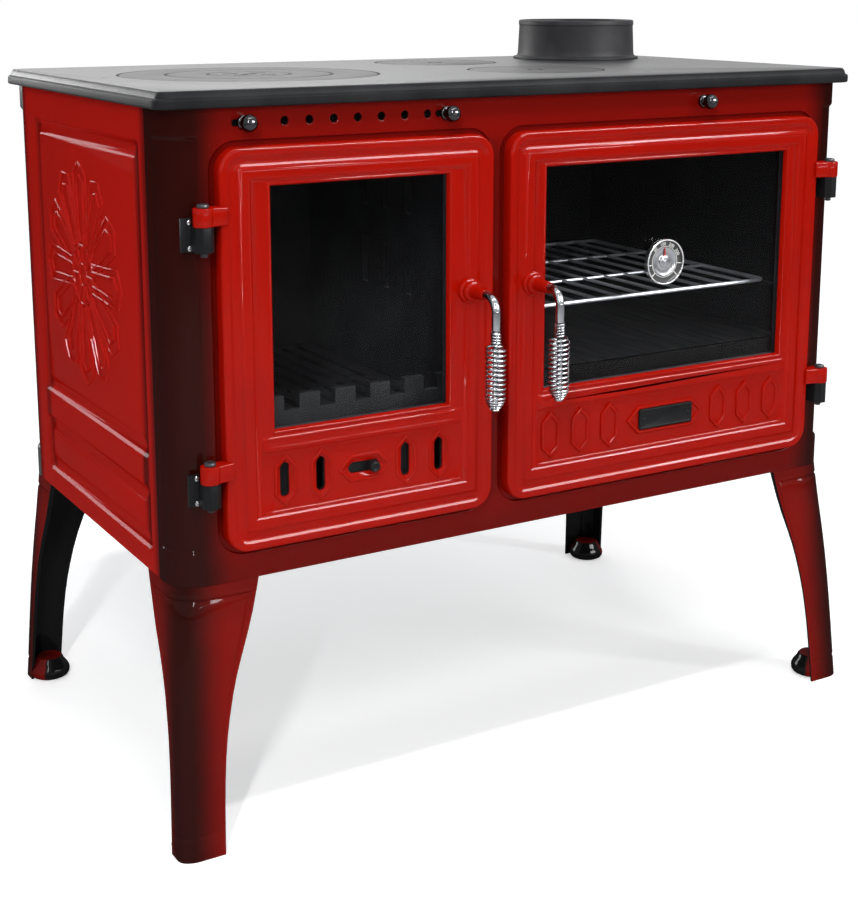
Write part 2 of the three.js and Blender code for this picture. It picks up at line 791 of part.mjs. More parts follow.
function glassArea(place) {
  return {
    x0: place.left + place.border,
    x1: place.left + place.width - place.border,
    z0: doorBottom + door.glassBottom,
    z1: doorTop - door.glassTop,
    radius: door.glassCorner,
  };
}

function doorSlab(place) {
  const slab = loft(frontRings(doorArea(place, 0), [
    [0, doorBack],
    [0, doorFront + door.edge],
    [door.edge / 3, doorFront + door.edge / 3],
    [door.edge, doorFront],
  ]));
  const line = door.rimWidth;
  const groove = loft(frontRings(doorArea(place, 0), [
    [line, doorFront - overrun],
    [line, doorFront],
    [line + door.grooveDepth, doorFront + door.grooveDepth],
    [line + door.grooveWidth, doorFront + door.grooveDepth],
    [line + door.grooveWidth + door.grooveDepth, doorFront],
    [line + door.grooveWidth + door.grooveDepth, doorFront - overrun],
  ]), true);
  const opening = glassArea(place);
  const mouth = loft(frontRings(opening, [
    [-door.glassBevel - overrun, doorFront - overrun * door.glassBevelDepth / door.glassBevel],
    [0, doorFront + door.glassBevelDepth],
    [0, doorBack + overrun],
  ], 2));
  const lap = glass.lap + gap;
  const paneFront = doorBack - retainer.thickness - glass.thickness - 2 * gap;
  const paneSeat = box(opening.x0 - lap, opening.x1 + lap, paneFront - gap, doorBack + overrun,
    opening.z0 - lap, opening.z1 + lap);
  const panel = {
    x0: place.left + door.panelInset,
    x1: place.left + place.width - door.panelInset,
    z0: doorBottom + door.panelBottom,
    z1: doorBottom + door.panelTop,
    radius: door.panelBevel,
  };
  const slope = overrun * door.panelBevel / door.panelDepth;
  const sunk = loft(frontRings(panel, [
    [-slope, doorFront - overrun],
    [door.panelBevel, doorFront + door.panelDepth],
  ], 2));
  const sealArea = doorArea(place, -seal.inset);
  const sealGroove = loft(frontRings(sealArea, [
    [0, doorBack - seal.thickness + gap],
    [0, doorBack + overrun],
    [seal.width, doorBack + overrun],
    [seal.width, doorBack - seal.thickness + gap],
  ]), true);
  const bareSlab = cut(slab, groove, mouth, paneSeat, sunk, sealGroove, panelPocket(place));
  return doorFittings(bareSlab, place);
}

function handlePlace(place) {
  const x = place.hingeSide < 0 ? place.left + place.width - boss.inset : place.left + boss.inset;
  return { x, z: doorBottom + boss.rise };
}

function pinPlace(place) {
  const edge = place.hingeSide < 0 ? place.left : place.left + place.width;
  return { x: edge + place.hingeSide * hinge.pinX, y: pinLine };
}

const knuckleMiddles = [doorTop - hinge.upperDrop, doorBottom + hinge.lowerRise];

// Adds the hinge knuckles and the handle boss, and bores them
function doorFittings(slab, place) {
  const pin = pinPlace(place);
  const { x, z } = handlePlace(place);
  let body = slab;
  const bores = [];
  for (const middle of knuckleMiddles) {
    const z0 = middle - hinge.knuckleHeight / 2;
    const z1 = middle + hinge.knuckleHeight / 2;
    const inner = pin.x - place.hingeSide * (hinge.pinX + door.edge);
    const arm = box(Math.min(pin.x, inner), Math.max(pin.x, inner), pin.y, pin.y + hinge.armWidth, z0, z1);
    const web = box(Math.min(pin.x, inner), Math.max(pin.x, inner), pin.y - hinge.barrelRadius / 2, pin.y, z0, z1);
    body = join(body, rod(hinge.barrelRadius, [pin.x, pin.y, z0], [pin.x, pin.y, z1], 16), arm, web);
    const bore = hinge.pinRadius + gap;
    bores.push(rod(bore, [pin.x, pin.y, z0 - overrun], [pin.x, pin.y, z1 + overrun], 12));
  }
  const base = rod(boss.radius, [x, doorFront + door.edge, z], [x, doorFront - boss.neck, z], 16);
  const nose = rod(boss.radius - boss.neck, [x, doorFront, z], [x, doorFront - boss.height, z], 16);
  bores.push(rod(handle.rodRadius + gap, [x, doorFront - boss.height - overrun, z], [x, doorBack + overrun, z], 12));
  return cut(join(body, base, nose), ...bores);
}

function fireDoorFrame() {
  const centre = fireDoorPlace.left + fireDoorPlace.width / 2;
  const middle = doorBottom + door.panelMiddle;
  const face = doorFront + door.panelDepth;
  const cuts = [];
  for (const offset of [-airSlots.outer, -airSlots.inner, airSlots.inner, airSlots.outer]) {
    const x = centre + offset;
    const recess = longHexagon(x, middle, airSlots.recessWidth, airSlots.recessHeight);
    cuts.push(frontal(recess, face - overrun, face + airSlots.recessDepth));
    const slot = rectangle(x - airSlots.width / 2, x + airSlots.width / 2, middle - airSlots.height / 2,
      middle + airSlots.height / 2, airSlots.width / 2);
    cuts.push(frontal(slot, face, doorBack + overrun));
  }
  const wide = wideHexagon(centre, middle, registerSlot.recessWidth, registerSlot.recessHeight);
  cuts.push(frontal(wide, face - overrun, face + airSlots.recessDepth));
  const slot = rectangle(centre - registerSlot.width / 2, centre + registerSlot.width / 2,
    middle - registerSlot.height / 2, middle + registerSlot.height / 2, registerSlot.height / 2);
  cuts.push(frontal(slot, face, doorBack + overrun));
  return cut(doorSlab(fireDoorPlace), ...cuts);
}

function panelPocket(place) {
  const halfHeight = airSlots.height / 2 + register.edge;
  const middle = doorBottom + door.panelMiddle;
  return box(place.left + register.margin, place.left + place.width - register.margin,
    doorFront + door.panelDepth + door.wall, doorBack + overrun, middle - halfHeight, middle + halfHeight);
}

function fireAirRegister() {
  const centre = fireDoorPlace.left + fireDoorPlace.width / 2;
  const middle = doorBottom + door.panelMiddle;
  const front = doorFront + door.panelDepth + door.wall + gap;
  const x0 = fireDoorPlace.left + register.margin + gap + register.travel;
  const x1 = fireDoorPlace.left + fireDoorPlace.width - register.margin - gap;
  const halfHeight = airSlots.height / 2 + register.edge - gap;
  const plate = box(x0, x1, front, front + register.thickness, middle - halfHeight, middle + halfHeight);
  const cuts = [-airSlots.outer, -airSlots.inner, airSlots.inner, airSlots.outer].map((offset) => {
    const x = centre + offset;
    const slot = rectangle(x - airSlots.width / 2, x + airSlots.width / 2, middle - airSlots.height / 2,
      middle + airSlots.height / 2, airSlots.width / 2);
    return frontal(slot, front - overrun, front + register.thickness + overrun);
  });
  return cut(plate, ...cuts);
}

function fireRegisterKnob() {
  const x = fireDoorPlace.left + fireDoorPlace.width / 2 + register.travel / 2;
  const z = doorBottom + door.panelMiddle;
  const plateFace = doorFront + door.panelDepth + door.wall + gap;
  const seat = doorFront + door.panelDepth + airSlots.recessDepth;
  const stem = rod(register.stemRadius, [x, plateFace - gap, z], [x, seat - register.knobLength, z], 10);
  const head = rod(register.knobRadius, [x, seat - gap, z], [x, seat - register.knobLength, z], 12);
  return join(stem, head);
}

function ovenDoorFrame() {
  const centre = ovenDoorPlace.left + ovenDoorPlace.width / 2;
  const middle = doorBottom + door.panelMiddle;
  const face = doorFront + door.panelDepth;
  let body = doorSlab(ovenDoorPlace);
  for (let i = 0; i < 3; i += 1) {
    for (const side of [-1, 1]) {
      const x = centre + side * (hexagon.inner + i * hexagon.pitch);
      body = join(body, hexagonBand(longHexagon, x, middle, hexagon.width, hexagon.height, hexagon.band, face));
    }
  }
  const border = hexagonBand(wideHexagon, centre, middle, nameplate.borderWidth, nameplate.borderHeight,
    nameplate.band, face);
  return join(body, border);
}

function hexagonBand(outline, x, z, width, height, band, face) {
  const shape = outline(x, z, width, height);
  const shrink = 2 * band;
  shape.holes.push(outline(x, z, width - shrink, height - shrink));
  return frontal(shape, face - hexagon.relief, face + door.edge / 3);
}

function namePlate() {
  const centre = ovenDoorPlace.left + ovenDoorPlace.width / 2;
  const middle = doorBottom + door.panelMiddle;
  const face = doorFront + door.panelDepth - gap;
  const halfWidth = nameplate.width / 2 - nameplate.band;
  const halfHeight = nameplate.height / 2;
  const shape = rectangle(centre - halfWidth, centre + halfWidth, middle - halfHeight, middle + halfHeight,
    nameplate.thickness);
  return frontal(shape, face - nameplate.thickness, face, 2);
}

function doorPane(place) {
  const opening = glassArea(place);
  const back = doorBack - retainer.thickness - gap;
  const lap = glass.lap;
  return box(opening.x0 - lap, opening.x1 + lap, back - glass.thickness, back, opening.z0 - lap, opening.z1 + lap);
}

function glassRetainer(place) {
  const opening = glassArea(place);
  const lap = glass.lap;
  const outer = rectangle(opening.x0 - lap, opening.x1 + lap, opening.z0 - lap, opening.z1 + lap, retainer.lap);
  const inner = rectangle(opening.x0 + gap, opening.x1 - gap, opening.z0 + gap, opening.z1 - gap, retainer.lap);
  outer.holes.push(inner);
  return frontal(outer, doorBack - retainer.thickness, doorBack, 2);
}

function doorSeal(place) {
  const area = doorArea(place, -seal.inset - gap);
  const width = seal.width - 2 * gap;
  return loft(frontRings(area, [
    [0, doorBack - seal.thickness + 2 * gap],
    [0, landFace - gap],
    [width, landFace - gap],
    [width, doorBack - seal.thickness + 2 * gap],
  ]), true);
}

// Handles: a bent rod with a thinner shank, a coil grip over the shank and a latch cam behind

const camBack = innerFace + cam.clearance + cam.thickness;

function handleRod(place) {
  const { x, z } = handlePlace(place);
  const front = doorFront - handle.reach + door.proud;
  const path = new THREE.CurvePath();
  const start = new THREE.Vector3(x, camBack - cam.thickness - gap, z);
  const bendStart = new THREE.Vector3(x, front + handle.bendRadius, z);
  const corner = new THREE.Vector3(x, front, z);
  const bendEnd = new THREE.Vector3(x, front, z - handle.bendRadius);
  const end = new THREE.Vector3(x, front, z - handle.shankStart);
  path.add(new THREE.LineCurve3(start, bendStart));
  path.add(new THREE.QuadraticBezierCurve3(bendStart, corner, bendEnd));
  path.add(new THREE.LineCurve3(bendEnd, end));
  const section = new THREE.Shape().absarc(0, 0, handle.rodRadius, 0, 2 * Math.PI, false);
  const bar = new THREE.ExtrudeGeometry(section, { steps: 14, curveSegments: 5, extrudePath: path });
  const shank = rod(handle.shankRadius, [x, front, z - handle.shankStart + handle.rodRadius],
    [x, front, z - handle.length + spring.wireRadius], 8);
  return join(solid(bar), shank);
}

// Radius and height of the coil's centreline after a number of turns from its top
function springPoint(turn) {
  const neckRadius = (handle.shankRadius + gap + spring.wireRadius) / Math.cos(Math.PI / springSteps);
  const flareEnd = springTurns.neck + springTurns.flare;
  const bodyEnd = flareEnd + springTurns.body;
  const last = bodyEnd + springTurns.taper;
  const tip = Math.max(spring.tipRadius, neckRadius);
  let radius = spring.bodyRadius;
  if (turn < flareEnd) {
    const share = THREE.MathUtils.smoothstep(turn, springTurns.neck, flareEnd);
    radius = THREE.MathUtils.lerp(neckRadius, spring.bodyRadius, share);
  }
  if (turn > bodyEnd) radius = THREE.MathUtils.lerp(spring.bodyRadius, tip, (turn - bodyEnd) / (last - bodyEnd));
  const neckFall = Math.min(turn, springTurns.neck) * spring.neckPitch;
  const bodyFall = THREE.MathUtils.clamp(turn - springTurns.neck, 0, bodyEnd - springTurns.neck) * spring.bodyPitch;
  const tipFall = Math.max(turn - bodyEnd, 0) * spring.tipPitch;
  return { radius, fall: neckFall + bodyFall + tipFall, last };
}

function springCentreline() {
  const { last } = springPoint(0);
  const count = Math.round(last * springSteps);
  const points = [];
  for (let i = 0; i <= count; i += 1) {
    const turn = i / springSteps;
    const { radius, fall } = springPoint(turn);
    const angle = 2 * Math.PI * turn;
    points.push(new THREE.Vector3(radius * Math.cos(angle), radius * Math.sin(angle), -fall));
  }
  return points;
}

function leastSelfGap(points) {
  let least = Infinity;
  const step = Math.round(springSteps * 0.75);
  for (let i = 0; i + step < points.length; i += 1) {
    for (let j = i + step; j + 1 < points.length; j += 1) {
      const line = new THREE.Line3(points[j], points[j + 1]);
      const near = line.closestPointToPoint(points[i], true, new THREE.Vector3());
      least = Math.min(least, near.distanceTo(points[i]));
    }
  }
  return least - 2 * spring.wireRadius;
}

function handleSpring(place) {
  const { x, z } = handlePlace(place);
  const front = doorFront - handle.reach + door.proud;
  const points = springCentreline();
  const rings = points.map((point, i) => {
    const before = points[Math.max(i - 1, 0)];
    const after = points[Math.min(i + 1, points.length - 1)];
    const along = after.clone().sub(before).normalize();
    const out = new THREE.Vector3(point.x, point.y, 0).normalize();
    const side = along.clone().cross(out).normalize();
    const up = side.clone().cross(along).normalize();
    const ring = [];
    for (let k = 0; k < springSides; k += 1) {
      const angle = (2 * Math.PI * k) / springSides;
      const reach = up.clone().multiplyScalar(spring.wireRadius * Math.cos(angle));
      ring.push(point.clone().add(reach).addScaledVector(side, spring.wireRadius * Math.sin(angle)));
    }
    return ring;
  });
  const top = z - handle.shankStart - spring.wireRadius - gap;
  for (const ring of rings) for (const point of ring) point.add(new THREE.Vector3(x, front, top));
  return coilGeometry(rings);
}

function coilGeometry(rings) {
  const sides = rings[0].length;
  const positions = rings.flat().flatMap((point) => point.toArray());
  const index = [];
  for (let ring = 0; ring + 1 < rings.length; ring += 1) {
    for (let i = 0; i < sides; i += 1) {
      const j = (i + 1) % sides;
      const here = ring * sides;
      const next = here + sides;
      index.push(here + i, here + j, next + j, here + i, next + j, next + i);
    }
  }
  const end = (rings.length - 1) * sides;
  for (let i = 1; i + 1 < sides; i += 1) {
    index.push(0, i + 1, i);
    index.push(end, end + i, end + i + 1);
  }
  const geometry = new THREE.BufferGeometry();
  geometry.setAttribute('position', new THREE.Float32BufferAttribute(positions, 3));
  geometry.setIndex(outward(positions, index));
  const flat = geometry.toNonIndexed();
  flat.computeVertexNormals();
  return flat;
}

function latchCam(place) {
  const { x, z } = handlePlace(place);
  const toward = -place.hingeSide;
  const tip = x + toward * cam.length;
  const half = cam.width / 2;
  const shape = rectangle(Math.min(x, tip) - (toward > 0 ? half : 0), Math.max(x, tip) + (toward > 0 ? 0 : half),
    z - half, z + half, half - gap);
  return frontal(shape, camBack - cam.thickness, camBack, 3);
}

// Hinges

function hingeBracket(place, middle) {
  const pin = pinPlace(place);
  const side = place.hingeSide;
  const z1 = middle - hinge.knuckleHeight / 2 - gap;
  const z0 = z1 - hinge.bracketHeight;
  const outer = pin.x + side * hinge.flangeOuter;
  const inner = pin.x - side * hinge.flangeInner;
  const back = frontFace - gap;
  const front = back - hinge.flangeThickness;
  const flange = box(Math.min(outer, inner), Math.max(outer, inner), front, back, z0, z1);
  const footing = box(Math.min(outer, pin.x), Math.max(outer, pin.x), front, frontFace + cornerRadius, z0, z1);
  const onPillar = footing.intersect(outsidePillar(side, casting.fluteDepth - gap, z0 - overrun, z1 + overrun));
  const half = hinge.barrelRadius * Math.cos(Math.PI / 8);
  const arm = box(pin.x - half, pin.x + half, pin.y, front + gap, z0, z1);
  const barrel = rod(hinge.barrelRadius, [pin.x, pin.y, z0], [pin.x, pin.y, z1], 8);
  const bore = rod(hinge.pinRadius + gap, [pin.x, pin.y, z0 - overrun], [pin.x, pin.y, z1 + overrun], 12);
  return cut(join(flange, onPillar, arm, barrel), bore);
}

function hingePin(place, middle) {
  const pin = pinPlace(place);
  const top = middle + hinge.knuckleHeight / 2 + gap;
  const bottom = middle - hinge.knuckleHeight / 2 - gap - hinge.bracketHeight - hinge.tail;
  const shank = rod(hinge.pinRadius, [pin.x, pin.y, bottom], [pin.x, pin.y, top + gap], 12);
  const head = rod(hinge.headRadius, [pin.x, pin.y, top], [pin.x, pin.y, top + hinge.headHeight], 12);
  return join(shank, head);
}

// Air slide behind the row of holes, and the flue damper

function airSlidePlate() {
  const y0 = innerFace + gap;
  const z0 = airLine - airSlide.height / 2;
  const plate = box(airKnobLeft - airSlide.end, airKnobRight + airSlide.end, y0, y0 + airSlide.thickness,
    z0, z0 + airSlide.height);
  const holes = [];
  for (let i = 0; i < airHoleCount; i += 1) {
    const x = airHolesX + (i - (airHoleCount - 1) / 2) * airHole.pitch;
    holes.push(rod(airHole.radius, [x, y0 - overrun, airLine], [x, y0 + airSlide.thickness + overrun, airLine], 8));
  }
  return cut(plate, ...holes);
}

function ballKnob(x, seat, stemRadius) {
  const ballY = seat - knob.collarLength - knob.stemLength;
  const collar = rod(knob.collarRadius, [x, seat - gap, airLine], [x, seat - knob.collarLength, airLine], 12);
  const neck = rod(stemRadius, [x, seat - gap, airLine], [x, ballY, airLine], 8);
  const ball = solid(new THREE.SphereGeometry(knob.ballRadius, 12, 8).translate(x, ballY, airLine));
  return join(collar, neck, ball);
}

function airKnob(x) {
  const stem = rod(airSlide.stemRadius, [x, frontFace - gap - gap, airLine], [x, innerFace, airLine], 10);
  return join(ballKnob(x, frontFace, airSlide.stemRadius), stem);
}

// The space between the oven's top and the sunk underside of the hob plate
function damperBand() {
  const reach = bodyDepth / 2 - hob.rimWidth - gap;
  return { y0: -reach, y1: reach, z0: ovenBoxTop() + gap, z1: hobBottom + hob.undercut - gap };
}

const windowFront = backFace - damper.windowBack - damper.windowLength;

function smokePartition() {
  const { y0, y1, z0, z1 } = damperBand();
  const face = damperX - damper.rodRadius - damper.plate;
  const wall = box(face - damper.partition, face, y0, y1, z0, z1);
  const lipX = face + damper.lipDepth;
  const low = box(face - damper.partition, lipX, y0, y1, z0, z0 + damper.lip);
  const window = box(face - damper.partition - overrun, face + overrun, windowFront,
    windowFront + damper.windowLength, z0 + 2 * damper.lip, z1 - 2 * damper.lip);
  return cut(join(wall, low), window);
}

function damperPlate() {
  const { z0, z1 } = damperBand();
  const face = damperX - damper.rodRadius - damper.plate + gap;
  const y0 = windowFront - damper.lug;
  const y1 = windowFront + damper.windowLength + damper.lug;
  const plate = box(face, face + damper.plate - gap, y0, y1, z0 + damper.lip + gap, z1 - gap);
  const lug = box(face, damperX + damper.rodRadius, y0, y0 + damper.lug, z0 + damper.lip + gap, z1 - gap);
  return join(plate, lug);
}

function damperRod() {
  const end = windowFront - damper.lug - gap;
  return rod(damper.rodRadius, [damperX, frontFace - damper.socket + gap, airLine], [damperX, end, airLine], 10);
}

function damperKnob() {
  const bored = rod(damper.rodRadius + gap, [damperX, frontFace - damper.socket, airLine],
    [damperX, frontFace + overrun, airLine], 10);
  return cut(ballKnob(damperX, frontFace, airSlide.stemRadius), bored);
}

// Firebox: three cast liners on the base, a grate on their ledges and a toothed log bar

const fireLeft = fireOpening.x0 - firebox.wallGap + firebox.liner;
const fireRight = fireOpening.x1 + firebox.ovenGap;
const grateBottom = legHeight + firebox.grateRise;
const grateTop = grateBottom + firebox.grate;
const linerTop = bodyTop - firebox.topClearance;
const linerFront = innerFace + airSlide.thickness + 2 * gap;

function linerSlots(axis, middle, across) {
  const cuts = [];
  for (const row of [firebox.slotRowLow, firebox.slotRowHigh]) {
    for (let i = 0; i < linerSlotCount; i += 1) {
      const at = middle + (i - (linerSlotCount - 1) / 2) * firebox.slotPitch;
      const z = grateTop + row - firebox.slotHeight / 2;
      const half = firebox.slotWidth / 2;
      const span = [at - half, at + half];
      const through = [across - overrun, across + firebox.liner + overrun];
      const [x, y] = axis === 'x' ? [through, span] : [span, through];
      cuts.push(box(x[0], x[1], y[0], y[1], z, z + firebox.slotHeight));
    }
  }
  return cuts;
}

function sideLiner(outer, inward) {
  const x0 = Math.min(outer, outer + inward * firebox.liner);
  const wall = box(x0, x0 + firebox.liner, linerFront, fireboxBack - gap, baseTop + gap, linerTop);
  const ledgeX = outer + inward * (firebox.liner + firebox.ledge);
  const ledge = box(Math.min(outer, ledgeX), Math.max(outer, ledgeX), linerFront, fireboxBack - gap,
    grateBottom - gap - firebox.ledge, grateBottom - gap);
  const middle = (linerFront + fireboxBack) / 2;
  return cut(join(wall, ledge), ...linerSlots('x', middle, x0));
}

function backLiner() {
  const x0 = fireLeft - firebox.liner;
  const x1 = fireRight + firebox.liner;
  const wall = box(x0, x1, fireboxBack, fireboxBack + firebox.liner, baseTop + gap, linerTop);
  return cut(wall, ...linerSlots('y', (x0 + x1) / 2, fireboxBack));
}

function fireGrate() {
  const x0 = fireLeft + gap;
  const x1 = fireRight - gap;
  const y0 = linerFront + retainerBar.setback;
  const y1 = fireboxBack - gap;
  const slab = box(x0, x1, y0, y1, grateBottom, grateTop);
  const pitch = grate.barWidth + grate.slotWidth;
  const count = Math.floor((x1 - x0 - 2 * grate.frame + grate.barWidth) / pitch);
  const first = (x0 + x1) / 2 - (count * pitch - grate.barWidth) / 2;
  const middle = (y0 + y1) / 2;
  const slots = [];
  for (let i = 0; i < count; i += 1) {
    const x = first + i * pitch;
    const half = grate.barWidth / 2;
    slots.push(box(x, x + grate.slotWidth, y0 + grate.frame, middle - half, grateBottom - overrun, grateTop + overrun));
    slots.push(box(x, x + grate.slotWidth, middle + half, y1 - grate.frame, grateBottom - overrun, grateTop + overrun));
  }
  return cut(slab, ...slots);
}

function logRetainer() {
  const x0 = fireLeft + gap;
  const x1 = fireRight - gap;
  const y0 = linerFront + retainerBar.setback + retainerBar.thickness / 2;
  const z0 = grateTop + gap;
  const z1 = z0 + retainerBar.height;
  const bar = box(x0, x1, y0, y0 + retainerBar.thickness, z0, z1);
  const pitch = retainerBar.toothWidth + retainerBar.toothGap;
  const count = Math.floor((x1 - x0 - retainerBar.toothWidth) / pitch);
  const first = (x0 + x1) / 2 - (count * pitch - retainerBar.toothWidth) / 2;
  const notches = [];
  for (let i = 0; i < count; i += 1) {
    const x = first + i * pitch;
    notches.push(box(x, x + retainerBar.toothGap, y0 - overrun, y0 + retainerBar.thickness + overrun,
      z1 - retainerBar.toothHeight, z1 + overrun));
  }
  return cut(bar, ...notches);
}

function ashDrawerSolid() {
  const y0 = innerFace + ashDrawer.setback - casting.faceThickness;
  const y1 = fireboxBack - ashDrawer.backClear;
  const z1 = drawerFloor + ashDrawer.height;
  const wall = ashDrawer.wall;
  const tray = cut(box(drawerLeft, drawerRight, y0, y1, drawerFloor, z1),
    box(drawerLeft + wall, drawerRight - wall, y0 + wall, y1 - wall, drawerFloor + wall, z1 + overrun));
  const centre = (drawerLeft + drawerRight) / 2;
  const half = ashDrawer.pullWidth / 2;
  const middle = (drawerFloor + z1) / 2;
  const pull = box(centre - half, centre + half, y0 - ashDrawer.pull, y0 + wall / 2, middle, middle + wall);
  const lip = box(centre - half, centre + half, y0 - ashDrawer.pull, y0 - ashDrawer.pull + wall,
    middle - ashDrawer.pull, middle + wall);
  return join(tray, pull, lip);
}

// Oven: a steel box behind the oven opening with two ledges, and a wire rack on them

function ovenBoxTop() {
  return ovenInside().z1 + oven.wall;
}

function ovenInside() {
  return {
    x0: ovenOpening.x0 + oven.side,
    x1: ovenOpening.x1 - oven.side,
    y0: innerFace + gap,
    y1: backFace - casting.wall - oven.backSpace,
    z0: ovenOpening.z0,
    z1: doorTop - casting.landWidth + oven.wall,
  };
}

function ovenBox() {
  const { x0, x1, y0, y1, z0, z1 } = ovenInside();
  const wall = oven.wall;
  const shell = box(x0 - wall, x1 + wall, y0, y1 + wall, z0 - wall, z1 + wall);
  const flange = box(x0 - oven.side - oven.flange, x1 + oven.side + oven.flange, y0, y0 + wall,
    z0 - wall - oven.flange, z1 + wall);
  const inside = box(x0, x1, y0 - overrun, y1, z0, z1);
  const rackLevel = z0 + oven.rackRise;
  const bite = wall / 2;
  const ledges = [x0 - bite, x1 - oven.ledgeWidth].map((x) =>
    box(x, x + oven.ledgeWidth + bite, y0 + wall, y1 + bite, rackLevel - oven.ledgeHeight, rackLevel));
  return cut(join(cut(join(shell, flange), inside), ...ledges), latchNotch(x0));
}

// Room for the oven latch to turn down past the box's front edge
function latchNotch(x0) {
  const { x, z } = handlePlace(ovenDoorPlace);
  const reach = cam.length + 2 * cam.clearance;
  return box(x - reach, x0 + cam.clearance, innerFace - overrun, camBack + cam.clearance, z - reach,
    z + cam.width / 2 + cam.clearance);
}

function ovenRack() {
  const inside = ovenInside();
  const x0 = inside.x0 + rack.clearance + rack.wire;
  const x1 = inside.x1 - rack.clearance - rack.wire;
  const y0 = frontFace + rack.setback + rack.wire;
  const y1 = inside.y1 - rack.backClear - rack.wire;
  const z = inside.z0 + oven.rackRise + gap + rack.wire;
  let body = join(rod(rack.wire, [x0, y0, z], [x1, y0, z], 6), rod(rack.wire, [x0, y1, z], [x1, y1, z], 6));
  for (const x of [x0, x1]) body = join(body, rod(rack.wire, [x, y0 - rack.wire, z], [x, y1 + rack.wire, z], 6));
  for (let i = 1; i <= rackBarCount; i += 1) {
    const x = THREE.MathUtils.lerp(x0, x1, i / (rackBarCount + 1));
    body = join(body, rod(rack.bar, [x, y0, z], [x, y1, z], 4));
  }
  return body;
}

// Thermometer on the oven glass: a rimmed case, a dial in it and a needle on the dial

function thermometerPlace() {
  const opening = glassArea(ovenDoorPlace);
  const x = (opening.x0 + opening.x1) / 2 - thermometer.offset;
  const z = opening.z0 + thermometer.rise;
  const back = doorBack - retainer.thickness - glass.thickness - 2 * gap;
  return { x, z, back, front: back - thermometer.depth };
}

function thermometerCase() {
  const { x, z, back, front } = thermometerPlace();
  const cup = rod(thermometer.radius, [x, back, z], [x, front, z], 24);
  const well = rod(thermometer.radius - thermometer.rim, [x, front + thermometer.dialDepth + thermometer.rim, z],
    [x, front - overrun, z], 24);
  return cut(cup, well);
}

function thermometerDial() {
  const { x, z, front } = thermometerPlace();
  const back = front + thermometer.dialDepth + thermometer.rim - gap;
  return rod(thermometer.radius - thermometer.rim - gap, [x, back, z], [x, back - thermometer.dialDepth, z], 24);
}

function thermometerNeedle() {
  const { x, z, front } = thermometerPlace();
  const face = front + thermometer.rim - 2 * gap;
  const tip = thermometer.radius - 2 * thermometer.rim;
  const half = thermometer.needleWidth / 2;
  const shape = new THREE.Shape();
  shape.absarc(x, z, thermometer.needleWidth, Math.PI * 0.85, Math.PI * 2.15, false);
  shape.lineTo(x + half / 3, z + tip);
  shape.lineTo(x - half / 3, z + tip);
  shape.closePath();
  return frontal(shape, face - thermometer.needle, face, 4);
}

// The assembly

const stove = new THREE.Group();

function add(name, body, material) {
  const geometry = body.isBufferGeometry ? body : geometryOf(body);
  const mesh = new THREE.Mesh(geometry, material);
  mesh.name = name;
  stove.add(mesh);
}

add('front_casting', frontCasting(), colours.darkEnamel);
add('back_casting', backCasting(), colours.blackIron);
const panel = leftSidePanel();
add('left_side_panel', panel, colours.enamel);
add('right_side_panel', mirrored(panel, -1, 1), colours.enamel);
add('base_plate', basePlateSolid(), colours.blackIron);
add('hob_plate', hobPlate(), colours.castIron);
add('flue_collar', flueCollar(), colours.blackIron);

add('large_hob_ring', cut(lidDisc(largeLidSpot, largeLid.radius, 40), seatCutter(largeLidSpot, innerLidRadius, 32)),
  colours.castIron);
add('small_hob_ring', cut(lidDisc(largeLidSpot, innerLidRadius, 32), seatCutter(largeLidSpot, centreLidRadius, 24)),
  colours.castIron);
add('centre_lid', centreLid(), colours.castIron);
add('rear_lid', plainLid(rearLidSpot), colours.castIron);
add('front_lid', plainLid(frontLidSpot), colours.castIron);

const legBody = frontLeftLeg();
add('leg_front_left', legBody, colours.enamel);
add('leg_front_right', mirrored(legBody, -1, 1), colours.enamel);
add('leg_rear_left', mirrored(legBody, 1, -1), colours.enamel);
add('leg_rear_right', mirrored(legBody, -1, -1), colours.enamel);

add('firebox_left_liner', sideLiner(fireLeft - firebox.liner, 1), colours.blackIron);
add('firebox_right_liner', sideLiner(fireRight + firebox.liner, -1), colours.blackIron);
add('firebox_back_liner', backLiner(), colours.blackIron);
add('fire_grate', fireGrate(), colours.blackIron);
add('log_retainer', logRetainer(), colours.blackIron);
add('ash_drawer', ashDrawerSolid(), colours.steel);
add('oven_box', ovenBox(), colours.blackIron);
add('oven_rack', ovenRack(), colours.chrome);
add('smoke_partition', smokePartition(), colours.steel);
add('damper_plate', damperPlate(), colours.steel);
add('damper_rod', damperRod(), colours.steel);
add('damper_knob', damperKnob(), colours.chrome);
add('air_slide', airSlidePlate(), colours.steel);
add('air_knob_left', airKnob(airKnobLeft), colours.chrome);
add('air_knob_right', airKnob(airKnobRight), colours.chrome);

add('fire_door_frame', fireDoorFrame(), colours.enamel);
add('fire_air_register', fireAirRegister(), colours.blackIron);
add('fire_register_knob', fireRegisterKnob(), colours.blackIron);
add('oven_door_frame', ovenDoorFrame(), colours.enamel);
add('oven_name_plate', namePlate(), colours.blackIron);
add('thermometer_case', thermometerCase(), colours.chrome);
add('thermometer_dial', thermometerDial(), colours.white);
add('thermometer_needle', thermometerNeedle(), colours.red);

